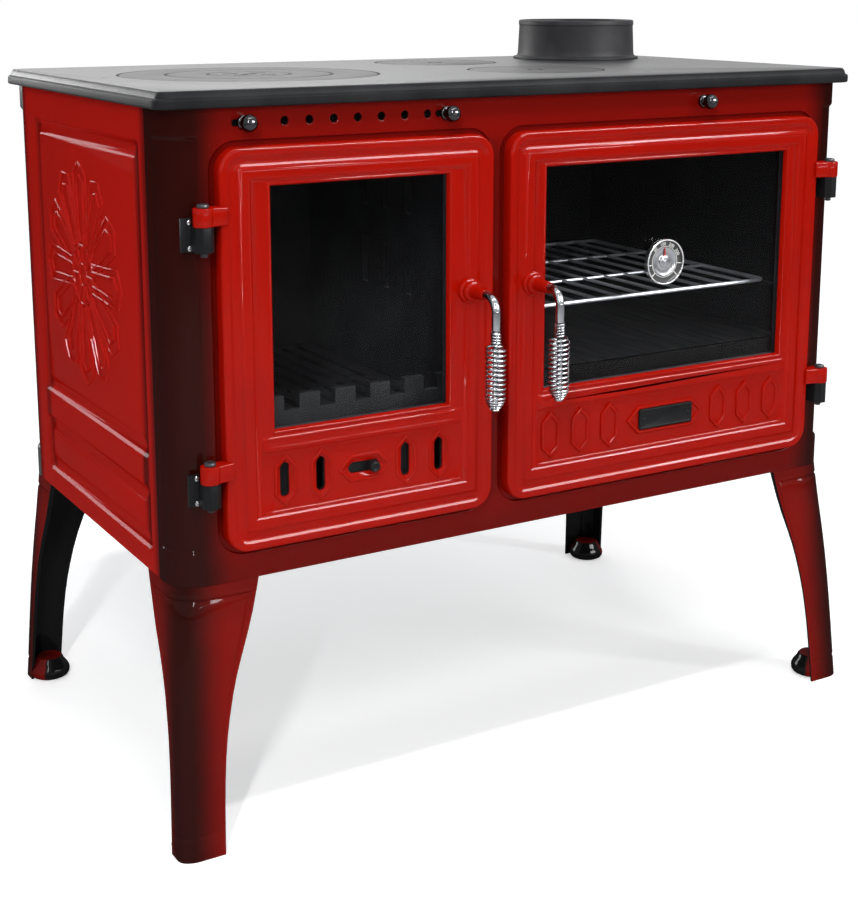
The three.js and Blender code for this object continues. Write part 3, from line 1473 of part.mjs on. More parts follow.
for (const [side, spot] of [['fire', fireDoorPlace], ['oven', ovenDoorPlace]]) {
  add(`${side}_door_glass`, doorPane(spot), colours.glass);
  add(`${side}_glass_retainer`, glassRetainer(spot), colours.blackIron);
  add(`${side}_door_seal`, doorSeal(spot), colours.rope);
  add(`${side}_handle_rod`, handleRod(spot), colours.chrome);
  add(`${side}_handle_spring`, handleSpring(spot), colours.chrome);
  add(`${side}_latch_cam`, latchCam(spot), colours.steel);
  knuckleMiddles.forEach((middle, i) => {
    const level = ['upper', 'lower'][i];
    add(`${side}_hinge_bracket_${level}`, hingeBracket(spot, middle), colours.blackIron);
    add(`${side}_hinge_pin_${level}`, hingePin(spot, middle), colours.blackIron);
  });
}

console.log(`least gap of each grip coil to itself: ${leastSelfGap(springCentreline()).toFixed(2)} mm`);

// The origin lies on the floor under the middle of everything that stands on it or reaches out
const middle = new THREE.Box3().setFromObject(stove).getCenter(new THREE.Vector3());
stove.position.set(-middle.x, -middle.y, 0);
stove.updateMatrixWorld(true);

export default stove;
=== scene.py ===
import math

import bmesh
import bpy
from mathutils import Matrix, Vector


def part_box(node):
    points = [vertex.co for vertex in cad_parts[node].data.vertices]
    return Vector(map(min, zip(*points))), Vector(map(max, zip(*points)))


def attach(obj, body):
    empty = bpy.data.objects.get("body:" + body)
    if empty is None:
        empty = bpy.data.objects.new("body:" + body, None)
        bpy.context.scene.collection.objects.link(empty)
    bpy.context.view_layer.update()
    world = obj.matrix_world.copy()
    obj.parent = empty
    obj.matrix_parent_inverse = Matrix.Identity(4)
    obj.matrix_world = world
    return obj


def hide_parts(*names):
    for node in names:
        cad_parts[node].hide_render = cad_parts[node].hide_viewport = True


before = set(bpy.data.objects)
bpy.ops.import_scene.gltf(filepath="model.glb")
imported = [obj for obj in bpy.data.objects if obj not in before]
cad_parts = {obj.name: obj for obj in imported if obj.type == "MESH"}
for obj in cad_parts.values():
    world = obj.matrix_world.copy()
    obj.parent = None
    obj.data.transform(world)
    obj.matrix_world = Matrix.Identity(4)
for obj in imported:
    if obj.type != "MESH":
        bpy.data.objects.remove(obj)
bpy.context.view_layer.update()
mm = 0.001
# how far a cutter runs past what it cuts, and how near counts as touching
over = 10 * mm
near = 0.01 * mm
roomward = (0, -1, 0)


# Turns a table of millimetres into metres
def metres(value):
    if isinstance(value, dict):
        return {key: metres(part) for key, part in value.items()}
    if isinstance(value, (list, tuple)):
        return type(value)(metres(part) for part in value)
    return value * mm


# half width and half depth of the body, its middle from front to back, the legs' height and lean
body = metres({"side": 483, "depth": 269, "middle": 25.75, "legs": 310, "leanX": 16, "leanY": 31})


def low(node):
    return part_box(node)[0]


def high(node):
    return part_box(node)[1]


def centreOf(node):
    return (low(node) + high(node)) / 2


def deselect():
    if bpy.context.object and bpy.context.object.mode != "OBJECT":
        bpy.ops.object.mode_set(mode="OBJECT")
    bpy.ops.object.select_all(action="DESELECT")


def pick(*pieces):
    deselect()
    for piece in pieces:
        piece.hide_viewport = False
        piece.select_set(True)
    bpy.context.view_layer.objects.active = pieces[0]


def rename(piece, name):
    piece.name = name
    piece.data.name = name
    return piece


def settle(piece, name):
    pick(piece)
    bpy.ops.object.transform_apply(location=True, rotation=True, scale=True)
    return rename(piece, name)


def addBlock(corner, opposite, name="tool"):
    deselect()
    middle = [(a + b) / 2 for a, b in zip(corner, opposite)]
    size = [abs(b - a) for a, b in zip(corner, opposite)]
    bpy.ops.mesh.primitive_cube_add(size=1, location=middle, scale=size)
    return settle(bpy.context.object, name)


def addRod(start, end, radius, sides=32, endRadius=None):
    deselect()
    start = Vector(start)
    run = Vector(end) - start
    bpy.ops.mesh.primitive_cone_add(
        vertices=sides,
        radius1=radius,
        radius2=radius if endRadius is None else endRadius,
        depth=run.length,
        location=start + run / 2,
        rotation=run.to_track_quat("Z", "Y").to_euler(),
    )
    return settle(bpy.context.object, "tool")


# An upright rod through a spot
def addPost(x, y, bottom, top, radius, sides, topRadius=None):
    return addRod((x, y, bottom), (x, y, top), radius, sides, topRadius)


def shift(piece, x, y, z):
    piece.data.transform(Matrix.Translation((x, y, z)))
    return piece


def turn(piece, angle, axis):
    piece.data.transform(Matrix.Rotation(angle, 4, axis))
    return piece


def selectAll():
    bpy.ops.mesh.select_all(action="SELECT")


def openEdit(piece, mode="FACE"):
    pick(piece)
    bpy.ops.object.mode_set(mode="EDIT")
    bpy.ops.mesh.select_mode(type=mode)
    bpy.ops.mesh.select_all(action="DESELECT")


def closeEdit():
    bpy.ops.object.mode_set(mode="OBJECT")


def choose(piece, kind, mode, test):
    bpy.ops.mesh.select_mode(type=mode)
    bpy.ops.mesh.select_all(action="DESELECT")
    mesh = bmesh.from_edit_mesh(piece.data)
    for part in getattr(mesh, kind):
        if test(part):
            part.select_set(True)
    bmesh.update_edit_mesh(piece.data)


def chooseFaces(piece, test):
    choose(piece, "faces", "FACE", test)


def chooseEdges(piece, test):
    choose(piece, "edges", "EDGE", test)


def middleOf(edge):
    return (edge.verts[0].co + edge.verts[1].co) / 2


def runs(edge, axis):
    return abs((edge.verts[1].co - edge.verts[0].co).normalized()[axis]) > 0.9


def bevelEdges(piece, test, width, steps):
    openEdit(piece)
    chooseEdges(piece, test)
    bpy.ops.mesh.bevel(offset=width, segments=steps, affect="EDGES", offset_type="OFFSET")
    closeEdit()
    return piece


def stepInset(steps):
    for width, rise in steps:
        bpy.ops.mesh.inset(thickness=width, depth=rise, use_even_offset=True, use_boundary=True)


def extrudeY(distance):
    bpy.ops.mesh.extrude_region_move(TRANSFORM_OT_translate={"value": (0, distance, 0)})


# Cuts the selected faces along a plane across an axis
def sliceAt(axis, level):
    normal = [int(axis == place) for place in range(3)]
    bpy.ops.mesh.bisect(plane_co=[level * part for part in normal], plane_no=normal)


def moveVerts(piece, change):
    mesh = bmesh.from_edit_mesh(piece.data)
    for vert in mesh.verts:
        change(vert)
    bmesh.update_edit_mesh(piece.data)


# Draws the rounded corners of the chosen face out to square ones
def squareCorners(piece, plane):
    mesh = bmesh.from_edit_mesh(piece.data)
    verts = [vert for face in mesh.faces if face.select for vert in face.verts]
    for axis in plane:
        lowest = min(v.co[axis] for v in verts)
        highest = max(v.co[axis] for v in verts)
        for vert in verts:
            vert.co[axis] = highest if vert.co[axis] > (lowest + highest) / 2 else lowest
    bmesh.update_edit_mesh(piece.data)
    bpy.ops.mesh.select_mode(type="VERT")
    bpy.ops.mesh.remove_doubles(threshold=near)
    bpy.ops.mesh.select_mode(type="FACE")


def applyModifier(piece, kind, **values):
    pick(piece)
    modifier = piece.modifiers.new(kind, kind)
    for key, value in values.items():
        setattr(modifier, key, value)
    bpy.ops.object.modifier_apply(modifier=modifier.name)


def combine(operation, piece, tools):
    for tool in tools:
        applyModifier(piece, "BOOLEAN", operation=operation, object=tool, solver="MANIFOLD")
        bpy.data.objects.remove(tool)
    return piece


def carve(piece, *tools):
    return combine("DIFFERENCE", piece, tools)


def unite(piece, *parts):
    return combine("UNION", piece, parts)


def joinLoose(name, *pieces):
    pick(*pieces)
    bpy.ops.object.join()
    return rename(bpy.context.object, name)


def duplicate(piece, name):
    pick(piece)
    bpy.ops.object.duplicate(linked=False)
    return rename(bpy.context.object, name)


def turnOutward(piece):
    openEdit(piece)
    selectAll()
    bpy.ops.mesh.normals_make_consistent(inside=False)
    closeEdit()
    return piece


# A copy that is mirrored along some axes, in y about a middle line
def mirrorTwin(piece, name, axes, middleY=0):
    twin = duplicate(piece, name)
    scale = [-1 if axis in axes else 1 for axis in range(3)]
    twin.data.transform(Matrix.Diagonal((*scale, 1)))
    if 1 in axes:
        shift(twin, 0, 2 * middleY, 0)
    return turnOutward(twin)


def openEmpty():
    deselect()
    bpy.ops.mesh.primitive_plane_add(size=1)
    piece = bpy.context.object
    openEdit(piece, "VERT")
    selectAll()
    bpy.ops.mesh.delete(type="VERT")
    return piece, bmesh.from_edit_mesh(piece.data)


# A profile of (radius, height) pairs that is moved along its axis
def lifted(profile, rise):
    return [(radius, height + rise) for radius, height in profile]


# Spins a profile of (radius, height) pairs about an axis through a spot
def spinProfile(name, profile, spot, direction=(0, 0, 1), steps=64, closed=False):
    piece, mesh = openEmpty()
    points = [mesh.verts.new((radius, 0, height)) for radius, height in profile]
    for a, b in zip(points, points[1:]):
        mesh.edges.new((a, b))
    if closed:
        mesh.edges.new((points[-1], points[0]))
    bmesh.update_edit_mesh(piece.data)
    selectAll()
    bpy.ops.mesh.spin(steps=steps, angle=2 * math.pi, center=(0, 0, 0), axis=(0, 0, 1))
    selectAll()
    bpy.ops.mesh.remove_doubles(threshold=near / 10)
    bpy.ops.mesh.normals_make_consistent(inside=False)
    closeEdit()
    facing = Vector(direction).to_track_quat("Z", "Y").to_matrix().to_4x4()
    piece.data.transform(Matrix.Translation(spot) @ facing)
    return settle(piece, name)


# A smooth tube of round section that follows a line of points
def tubeAlong(name, points, radius, around=3, closed=False):
    deselect()
    bpy.ops.curve.primitive_nurbs_path_add()
    piece = bpy.context.object
    curve = piece.data
    curve.splines.clear()
    spline = curve.splines.new("POLY")
    spline.points.add(len(points) - 1)
    for place, point in zip(spline.points, points):
        place.co = (*point, 1)
    spline.use_cyclic_u = closed
    curve.dimensions = "3D"
    curve.bevel_depth = radius
    curve.bevel_resolution = around
    curve.use_fill_caps = not closed
    piece.location = (0, 0, 0)
    pick(piece)
    bpy.ops.object.convert(target="MESH")
    return turnOutward(settle(bpy.context.object, name))


# Points of an arc about the origin, angles in degrees
def arc(radius, first, last, steps):
    angles = [math.radians(first + (last - first) * step / steps) for step in range(steps + 1)]
    return [(radius * math.cos(angle), radius * math.sin(angle)) for angle in angles]


class Value:
    def __init__(self, paint, socket):
        self.paint = paint
        self.socket = socket

    def __add__(self, other):
        return self.paint.maths("ADD", self, other)

    def __sub__(self, other):
        return self.paint.maths("SUBTRACT", self, other)

    def __rsub__(self, other):
        return self.paint.maths("SUBTRACT", other, self)

    def __mul__(self, other):
        return self.paint.maths("MULTIPLY", self, other)

    def __truediv__(self, other):
        return self.paint.maths("DIVIDE", self, other)

    def __pow__(self, other):
        return self.paint.maths("POWER", self, other)

    def __abs__(self):
        return self.paint.maths("ABSOLUTE", self)


class Paint:
    def __init__(self, name):
        self.material = bpy.data.materials.new(name)
        self.material.use_nodes = True
        self.tree = self.material.node_tree
        self.shader = self.tree.nodes["Principled BSDF"]
        self.output = self.tree.nodes["Material Output"]

    def node(self, kind, settings=None, inputs=None, output=0):
        made = self.tree.nodes.new(kind)
        for key, value in (settings or {}).items():
            setattr(made, key, value)
        for key, value in (inputs or {}).items():
            self.feed(made.inputs[key], value)
        return Value(self, made.outputs[output])

    def feed(self, socket, value):
        if isinstance(value, Value):
            self.tree.links.new(value.socket, socket)
        elif hasattr(value, "__len__") and socket.type == "RGBA" and len(value) == 3:
            socket.default_value = (*value, 1)
        else:
            socket.default_value = value

    def put(self, **values):
        for key, value in values.items():
            self.feed(self.shader.inputs[key.replace("_", " ")], value)
        return self

    def maths(self, operation, *values):
        return self.node("ShaderNodeMath", {"operation": operation}, dict(enumerate(values)))

    def axes(self, kind="Object"):
        spot = self.node("ShaderNodeTexCoord", output=kind)
        split = self.node("ShaderNodeSeparateXYZ", inputs={0: spot}).socket.node
        return [Value(self, output) for output in split.outputs]

    def noise(self, scale, detail=4, rough=0.6, stretch=None):
        spot = self.node("ShaderNodeTexCoord", output="Object")
        if stretch:
            spot = self.node("ShaderNodeMapping", inputs={"Vector": spot, "Scale": stretch})
        inputs = {"Vector": spot, "Scale": scale, "Detail": detail, "Roughness": rough}
        return self.node("ShaderNodeTexNoise", inputs=inputs)

    def ramp(self, value, lowEnd, highEnd, to=(0, 1), smooth=True):
        return self.node(
            "ShaderNodeMapRange",
            {"interpolation_type": "SMOOTHSTEP" if smooth else "LINEAR"},
            {"Value": value, "From Min": lowEnd, "From Max": highEnd, "To Min": to[0], "To Max": to[1]},
        )

    # Fades out between two distances from a middle
    def band(self, value, middle, inner, outer, to=(1, 0)):
        return self.ramp(abs(value - middle), inner, outer, to)

    def blend(self, amount, first, second):
        inputs = {0: amount, 6: first, 7: second}
        return self.node("ShaderNodeMix", {"data_type": "RGBA"}, inputs, output=2)

    def bump(self, height, strength, distance):
        return self.node(
            "ShaderNodeBump", inputs={"Height": height, "Strength": strength, "Distance": distance}
        )


def sumOf(values):
    return sum(values[1:], values[0])


def coat(piece, paint):
    piece.data.materials.clear()
    piece.data.materials.append(paint.material)


def coatNode(node, paint):
    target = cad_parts[node]
    for slot in target.material_slots:
        slot.material = paint.material
    if not target.material_slots:
        target.data.materials.append(paint.material)


def soften(piece, degrees):
    pick(piece)
    bpy.ops.object.shade_smooth_by_angle(angle=math.radians(degrees))


# Smooths a piece below an angle, paints it, hangs it under its body's empty and hides its nodes
def finishPiece(piece, degrees, body, slot, paint, *nodes):
    if degrees:
        soften(piece, degrees)
    coat(piece, paint)
    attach(piece, body)
    if nodes:
        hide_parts(*nodes)


print("camera, light and floor")

view = {
    "place": (-1.0786, -1.7957, 0.961),
    "tilt": 11.536,
    "turn": 30.551,
    "lens": 62.543,
    "shift": -0.16,
    "sensor": 36,
    "reach": 50,
}
studio = {
    "floorSize": 60,
    "floorColours": [(0.84, 0.84, 0.84), (0.86, 0.86, 0.86)],
    "floorCloud": (0.3, 0.7, (0.97, 1.0)),
    # from a distance to another, and the glow at both
    "floorGlow": (1.2, 5.0, (0.46, 0.78)),
    # colour and strength of the fill light and of the backdrop
    "skies": [((0.93, 0.95, 1.0), 0.3), ((1, 1, 1), 1.0)],
    "softboxes": [
        # place, size, watts, lights the object or only shines in its gloss
        ((-2.0, -2.6, 2.5), (0.12, 1.8), 62, True),
        ((2.2, -2.4, 2.4), (0.1, 1.6), 22, True),
        ((0.0, -1.0, 3.4), (2.6, 0.12), 52, True),
        ((0.4, -3.4, 0.67), (3.0, 0.06), 10, True),
        ((0.3, 2.6, 2.4), (2.6, 0.5), 24, True),
        ((2.0, -3.0, 2.25), (2.8, 1.1), 420, False),
        ((-1.5, 2.9, 1.25), (1.4, 0.9), 110, False),
    ],
    "aim": (0, 0, 0.55),
}


def setCamera():
    data = bpy.data.cameras.new("viewCamera")
    camera = bpy.data.objects.new("viewCamera", data)
    bpy.context.scene.collection.objects.link(camera)
    camera.location = view["place"]
    camera.rotation_euler = (math.radians(90 - view["tilt"]), 0, math.radians(-view["turn"]))
    data.sensor_width = view["sensor"]
    data.lens = view["lens"]
    data.shift_y = view["shift"]
    data.clip_end = view["reach"]
    bpy.context.scene.camera = camera
    bpy.context.scene.view_settings.view_transform = "Standard"


def makeFloor():
    deselect()
    bpy.ops.mesh.primitive_plane_add(size=studio["floorSize"])
    floor = settle(bpy.context.object, "floor")
    paint = Paint("floorPaint")
    rays = paint.tree.nodes.new("ShaderNodeLightPath")
    x, y, z = paint.axes()
    glow = paint.ramp((x ** 2 + y ** 2) ** 0.5, *studio["floorGlow"])
    shade = paint.ramp(paint.noise(0.8, 2), *studio["floorCloud"])
    paint.put(
        Base_Color=paint.blend(shade, *studio["floorColours"]),
        Roughness=1.0,
        Specular_IOR_Level=0.0,
        Emission_Color=paint.blend(glow, (0, 0, 0), (1, 1, 1)),
        Emission_Strength=Value(paint, rays.outputs["Is Camera Ray"]),
    )
    coat(floor, paint)


def makeSoftboxes():
    for index, (place, size, watts, lightsAll) in enumerate(studio["softboxes"]):
        data = bpy.data.lights.new(f"softbox{index + 1}", "AREA")
        data.shape = "RECTANGLE"
        data.size, data.size_y = size
        data.energy = watts
        lamp = bpy.data.objects.new(f"softbox{index + 1}", data)
        bpy.context.scene.collection.objects.link(lamp)
        lamp.location = place
        lamp.visible_diffuse = lightsAll
        aim = Vector(studio["aim"] if lightsAll else (place[0], 0, studio["aim"][2]))
        lamp.rotation_euler = (aim - Vector(place)).to_track_quat("-Z", "Y").to_euler()


# The eye, the glass and the gloss meet a white backdrop, and everything else a dim fill
def setWorld():
    world = bpy.data.worlds.new("studioWorld")
    bpy.context.scene.world = world
    world.use_nodes = True
    nodes = world.node_tree.nodes
    link = world.node_tree.links.new
    nodes.clear()
    rays = nodes.new("ShaderNodeLightPath").outputs
    seen = rays["Is Camera Ray"]
    for kind in ("Is Transmission Ray", "Is Glossy Ray"):
        either = nodes.new("ShaderNodeMath")
        either.operation = "MAXIMUM"
        link(seen, either.inputs[0])
        link(rays[kind], either.inputs[1])
        seen = either.outputs[0]
    choice = nodes.new("ShaderNodeMixShader")
    link(seen, choice.inputs[0])
    for index, (colour, strength) in enumerate(studio["skies"]):
        sky = nodes.new("ShaderNodeBackground")
        sky.inputs["Color"].default_value = (*colour, 1)
        sky.inputs["Strength"].default_value = strength
        link(sky.outputs[0], choice.inputs[index + 1])
    output = nodes.new("ShaderNodeOutputWorld")
    link(choice.outputs[0], output.inputs["Surface"])


setCamera()
makeFloor()
makeSoftboxes()
setWorld()


print("paints")

enamel = {
    "doorRed": (0.35, 0.005, 0.001),
    "doorDeep": (0.24, 0.004, 0.002),
    "bandRed": (0.22, 0.004, 0.002),
    "pillarDark": (0.024, 0.003, 0.002),
    "sideRed": (0.43, 0.009, 0.005),
    "sideDeep": (0.15, 0.005, 0.004),
    "legRed": (0.19, 0.005, 0.003),
    # painted shade for the side panel's upright hollows and the strip between the doors
    "hollowRed": (0.075, 0.003, 0.002),
    "black": (0.006, 0.005, 0.005),
    "groundCoat": (0.007, 0.007, 0.007),
    "doorShine": 0.05,
    "sideShine": 0.03,
    "castShine": 0.035,
    "coatIndex": 2.4,
    "coatRoughness": 0.04,
    # scale, detail and roughness of each noise
    "peel": (55, 2, 0.5),
    "fine": (420, 2, 0.5),
    "wear": (9, 5, 0.65),
    "roughness": (0.29, 0.42),
    "bump": (0.05, 0.0012),
}
# ranges and middles in metres, with the shares they fade between
castShade = {
    "side": (0.405, 0.452),
    "bottom": (0.375, 0.315),
    "top": (0.79, 0.83, (0, 0.35)),
    "openings": [(-0.254, 0.16, 0.164), (0.1835, 0.2305, 0.2345)],
    "openingHeight": (0.5705, 0.212, 0.216),
    "between": (-0.0705, 0.011, 0.016, (0.6, 0)),
    "betweenHeight": (0.57, 0.2, 0.235),
    "holeDepth": (0.0014, 0.0024),
    "holeHeight": (0.016, 0.006, 0.007),
    "holeWidth": (0, 0.42, 0.43),
}
sideShade = {
    "edge": (0.028, 0.196, 0.222, (0, 1.2)),
    # painted shade: the upright hollows are painted dark red
    "hollows": [(-0.161, 0.004, 0.014, (0.9, 0)), (0.196, 0.004, 0.014, (0.6, 0))],
    "hollowHeight": (0.567, 0.222, 0.236),
}
legShade = {"edge": (0.012, 0.062), "top": (0.25, 0.3, (1, 0.75)), "inward": (-0.2, -0.4)}
lidSpot = (-0.265, 0.0198)
gap = {
    "width": (0.0019, 0.0032),
    # painted shade in the narrow gaps round the lids
    "soot": (0.004, 0.004, 0.004),
    # middle and radius of each gap round a lid
    "plate": [(lidSpot, 0.1597), ((0.09, 0.1667), 0.0847), ((0.102, -0.0692), 0.0877)],
    "lids": [(lidSpot, 0.1023), (lidSpot, 0.0514)],
    "hobCoat": 0.8,
    "lidCoat": 0.38,
    "coatRoughness": 0.4,
    "coatIndex": 1.5,
}


def glaze(paint, colour, shine):
    skin = paint.noise(*enamel["peel"]) + paint.noise(*enamel["fine"]) * 0.15
    return paint.put(
        Base_Color=colour,
        Roughness=paint.ramp(paint.noise(*enamel["wear"]), 0.3, 0.75, enamel["roughness"]),
        Coat_Weight=shine,
        Coat_Roughness=enamel["coatRoughness"],
        Coat_IOR=enamel["coatIndex"],
        Specular_IOR_Level=0.0,
        Normal=paint.bump(skin, *enamel["bump"]),
    )


def doorPaint():
    paint = Paint("doorEnamel")
    colour = paint.blend(paint.ramp(paint.noise(5, 3), 0.35, 0.8), enamel["doorRed"], enamel["doorDeep"])
    return glaze(paint, paint.blend(0.35, enamel["doorRed"], colour), enamel["doorShine"])


def castingPaint():
    paint = Paint("castingEnamel")
    x, y, z = paint.axes()
    dark = enamel["pillarDark"]
    colour = paint.blend(paint.ramp(z, *castShade["top"]), enamel["bandRed"], dark)
    colour = paint.blend(paint.ramp(z, *castShade["bottom"]) * 0.45, colour, dark)
    side = paint.ramp(abs(x) + (paint.noise(7, 3) - 0.5) * 0.012, *castShade["side"])
    colour = paint.blend(side, colour, dark)
    # the strip between the two doors is in their shade
    between = paint.band(x, *castShade["between"]) * paint.band(z, *castShade["betweenHeight"])
    colour = paint.blend(between, colour, enamel["hollowRed"])
    behind = sumOf([paint.band(x, *opening) for opening in castShade["openings"]])
    behind = behind * paint.band(z, *castShade["openingHeight"])
    # no light falls into the air holes and the knobs' slots
    start, end = castShade["holeDepth"]
    below, inner, outer = castShade["holeHeight"]
    inHole = paint.ramp(y, low("front_casting").y + start, low("front_casting").y + end)
    inHole = inHole * paint.band(z, high("front_casting").z - below, inner, outer)
    inHole = inHole * paint.band(x, *castShade["holeWidth"])
    return glaze(paint, paint.blend(behind + inHole, colour, enamel["black"]), enamel["castShine"])


def sidePaint():
    paint = Paint("sideEnamel")
    x, y, z = paint.axes()
    shade = paint.band(y, *sideShade["edge"]) * 0.8 + (paint.noise(6, 3) - 0.5) * 0.3
    colour = paint.blend(paint.ramp(shade, 0, 1), enamel["sideRed"], enamel["sideDeep"])
    # painted shade down the upright hollows
    hollows = sumOf([paint.band(y, *hollow) for hollow in sideShade["hollows"]])
    hollows = hollows * paint.band(z, *sideShade["hollowHeight"])
    return glaze(paint, paint.blend(hollows, colour, enamel["hollowRed"]), enamel["sideShine"])


def legPaint():
    paint = Paint("legEnamel")
    x, y, z = paint.axes()
    fromMiddle = y - body["middle"]
    fall = 1 - z / body["legs"]
    fromSide = fall * body["leanX"] + body["side"] - abs(x)
    fromFront = fall * body["leanY"] + body["depth"] - abs(fromMiddle)
    reach = paint.maths("MAXIMUM", fromSide, fromFront)
    shade = paint.ramp(reach + (paint.noise(12, 3) - 0.5) * 0.01, *legShade["edge"])
    shade = shade * paint.ramp(z, *legShade["top"])
    colour = paint.blend(shade, enamel["pillarDark"], enamel["legRed"])
    # only a black ground coat lies on the inner faces
    aside, ahead, upward = paint.axes("Normal")
    outward = aside * paint.maths("SIGN", x) + ahead * paint.maths("SIGN", fromMiddle)
    inward = paint.ramp(outward, *legShade["inward"])
    return glaze(paint, paint.blend(inward, colour, enamel["groundCoat"]), enamel["castShine"])


def ironPaint(name, deep, pale, rough, grain=900, shine=0.18):
    paint = Paint(name)
    sand = paint.noise(grain, 3, 0.6)
    return paint.put(
        Base_Color=paint.blend(paint.ramp(paint.noise(14, 5), 0.3, 0.75), deep, pale),
        Roughness=paint.ramp(sand, 0.3, 0.7, (rough - 0.08, rough + 0.1)),
        Specular_IOR_Level=shine,
        Normal=paint.bump(sand, 0.25, 0.0004),
    )


def distance(x, y, spot):
    return ((x - spot[0]) ** 2 + (y - spot[1]) ** 2) ** 0.5


# The narrow gaps round the lids are painted black as shade
def gapLines(paint, x, y, rows):
    return sumOf([paint.band(distance(x, y, spot), radius, *gap["width"]) for spot, radius in rows])


def greased(paint, level, lines):
    return paint.put(
        Coat_Weight=(1 - lines) * level,
        Coat_Roughness=gap["coatRoughness"],
        Coat_IOR=gap["coatIndex"],
    )


def hobPaint():
    paint = ironPaint("hobIron", (0.010, 0.0105, 0.0115), (0.021, 0.0215, 0.023), 0.48, shine=0.04)
    x, y, z = paint.axes()
    base = Value(paint, paint.shader.inputs["Base Color"].links[0].from_socket)
    lines = gapLines(paint, x, y, gap["plate"])
    # painted shade along the gaps round the lids
    paint.put(Base_Color=paint.blend(lines, base, gap["soot"]))
    # only the ground top face shines
    top = high("hob_plate").z
    return greased(paint, paint.ramp(z, top - 1.2 * mm, top - 0.3 * mm, (0, gap["hobCoat"])), lines)


# Iron with the fine rings of a lathe about some spots, out to a reach
def turnedPaint(name, spots, deep, pale, rough):
    paint = Paint(name)
    x, y, z = paint.axes()
    sand = paint.noise(900, 3, 0.6)
    waves = []
    for spot, reach in spots:
        radius = distance(x, y, spot)
        inside = paint.ramp(radius, reach, reach + 1 * mm, (1, 0), False)
        waves.append(paint.maths("SINE", radius * 2600) * inside)
    rings = sumOf(waves)
    # painted shade along the gaps between the rings and the lids
    lines = gapLines(paint, x, y, gap["lids"])
    colour = paint.blend(paint.ramp(paint.noise(20, 5) + rings * 0.05, 0.25, 0.75), deep, pale)
    paint.put(
        Base_Color=paint.blend(lines, colour, gap["soot"]),
        Roughness=paint.ramp(sand + rings * 0.12, 0.2, 0.8, (rough - 0.08, rough + 0.08)),
        Specular_IOR_Level=0.04,
        Normal=paint.bump(rings * 0.5 + sand, 0.18, 0.0004),
    )
    return greased(paint, gap["lidCoat"], lines)


def chromePaint(name, pale, deep, rough):
    paint = Paint(name)
    smear = paint.noise(60, 4, 0.6, (1, 1, 0.3))
    return paint.put(
        Base_Color=paint.blend(paint.ramp(smear, 0.3, 0.8), pale, deep),
        Metallic=1.0,
        Roughness=paint.ramp(smear, 0.3, 0.8, (rough, rough + 0.08)),
    )


def printPaint(name, shade, rough):
    paint = Paint(name)
    cloud = paint.noise(90, 4)
    return paint.put(
        Base_Color=paint.blend(paint.ramp(cloud, 0.3, 0.8), shade, tuple(0.8 * c for c in shade)),
        Roughness=paint.ramp(cloud, 0.3, 0.8, (rough, rough + 0.12)),
        Normal=paint.bump(cloud, 0.08, 0.0002),
    )


def steelPaint(name, shade, rough):
    paint = Paint(name)
    roll = paint.noise(120, 3, 0.6, (1, 0.08, 1))
    stain = paint.ramp(paint.noise(8, 5), 0.3, 0.8)
    return paint.put(
        Base_Color=paint.blend(stain, shade, tuple(0.55 * c for c in shade)),
        Metallic=0.8,
        Roughness=paint.ramp(roll, 0.3, 0.7, (rough - 0.06, rough + 0.1)),
        Normal=paint.bump(roll, 0.1, 0.0003),
    )


def panePaint():
    paint = Paint("doorPane")
    nodes = paint.tree.nodes
    clear = nodes.new("ShaderNodeBsdfTransparent")
    clear.inputs["Color"].default_value = (0.93, 0.94, 0.95, 1)
    gloss = nodes.new("ShaderNodeBsdfGlossy")
    gloss.inputs["Roughness"].default_value = 0.02
    bend = paint.node("ShaderNodeFresnel", inputs={"IOR": 1.25})
    mix = nodes.new("ShaderNodeMixShader")
    paint.feed(mix.inputs[0], bend * 0.3 + paint.ramp(paint.noise(3, 3), 0.45, 0.8, (0, 0.003)))
    ends = ((clear, mix.inputs[1]), (gloss, mix.inputs[2]), (mix, paint.output.inputs["Surface"]))
    for source, socket in ends:
        paint.tree.links.new(source.outputs[0], socket)
    return paint


def ropePaint():
    paint = Paint("sealRope")
    spot = paint.node("ShaderNodeTexCoord", output="Object")
    weave = paint.node(
        "ShaderNodeTexWave",
        {"wave_type": "BANDS", "bands_direction": "DIAGONAL"},
        {"Vector": spot, "Scale": 180, "Distortion": 2.0, "Detail": 2.0},
    )
    return paint.put(
        Base_Color=paint.blend(weave, (0.05, 0.048, 0.045), (0.14, 0.135, 0.125)),
        Roughness=0.95,
        Normal=paint.bump(weave, 0.7, 0.001),
    )


doorEnamel = doorPaint()
castingEnamel = castingPaint()
sideEnamel = sidePaint()
legEnamel = legPaint()
hobIron = hobPaint()
flueIron = ironPaint("flueIron", (0.024, 0.024, 0.026), (0.044, 0.044, 0.047), 0.5, shine=0.08)
blackIron = ironPaint("blackIron", (0.006, 0.0063, 0.0068), (0.013, 0.0135, 0.0145), 0.4, shine=0.07)
linerIron = ironPaint("linerIron", (0.012, 0.012, 0.014), (0.026, 0.027, 0.03), 0.6)
grateIron = ironPaint("grateIron", (0.014, 0.014, 0.015), (0.034, 0.034, 0.036), 0.55, 500)
pinIron = ironPaint("pinIron", (0.02, 0.02, 0.022), (0.045, 0.045, 0.05), 0.3, shine=0.3)
chromePlate = chromePaint("chromePlate", (0.44, 0.45, 0.47), (0.26, 0.27, 0.29), 0.05)
springWire = chromePaint("springWire", (0.46, 0.47, 0.49), (0.27, 0.28, 0.3), 0.12)
knobChrome = chromePaint("knobChrome", (0.06, 0.06, 0.063), (0.03, 0.03, 0.032), 0.05)
rackWire = steelPaint("rackWire", (0.85, 0.85, 0.87), 0.4)
dishSilver = chromePaint("dishSilver", (0.5, 0.51, 0.53), (0.3, 0.31, 0.33), 0.16)
rimSilver = chromePaint("rimSilver", (0.8, 0.8, 0.8), (0.66, 0.66, 0.68), 0.18)
dialBlack = printPaint("dialBlack", (0.012, 0.012, 0.012), 0.4)
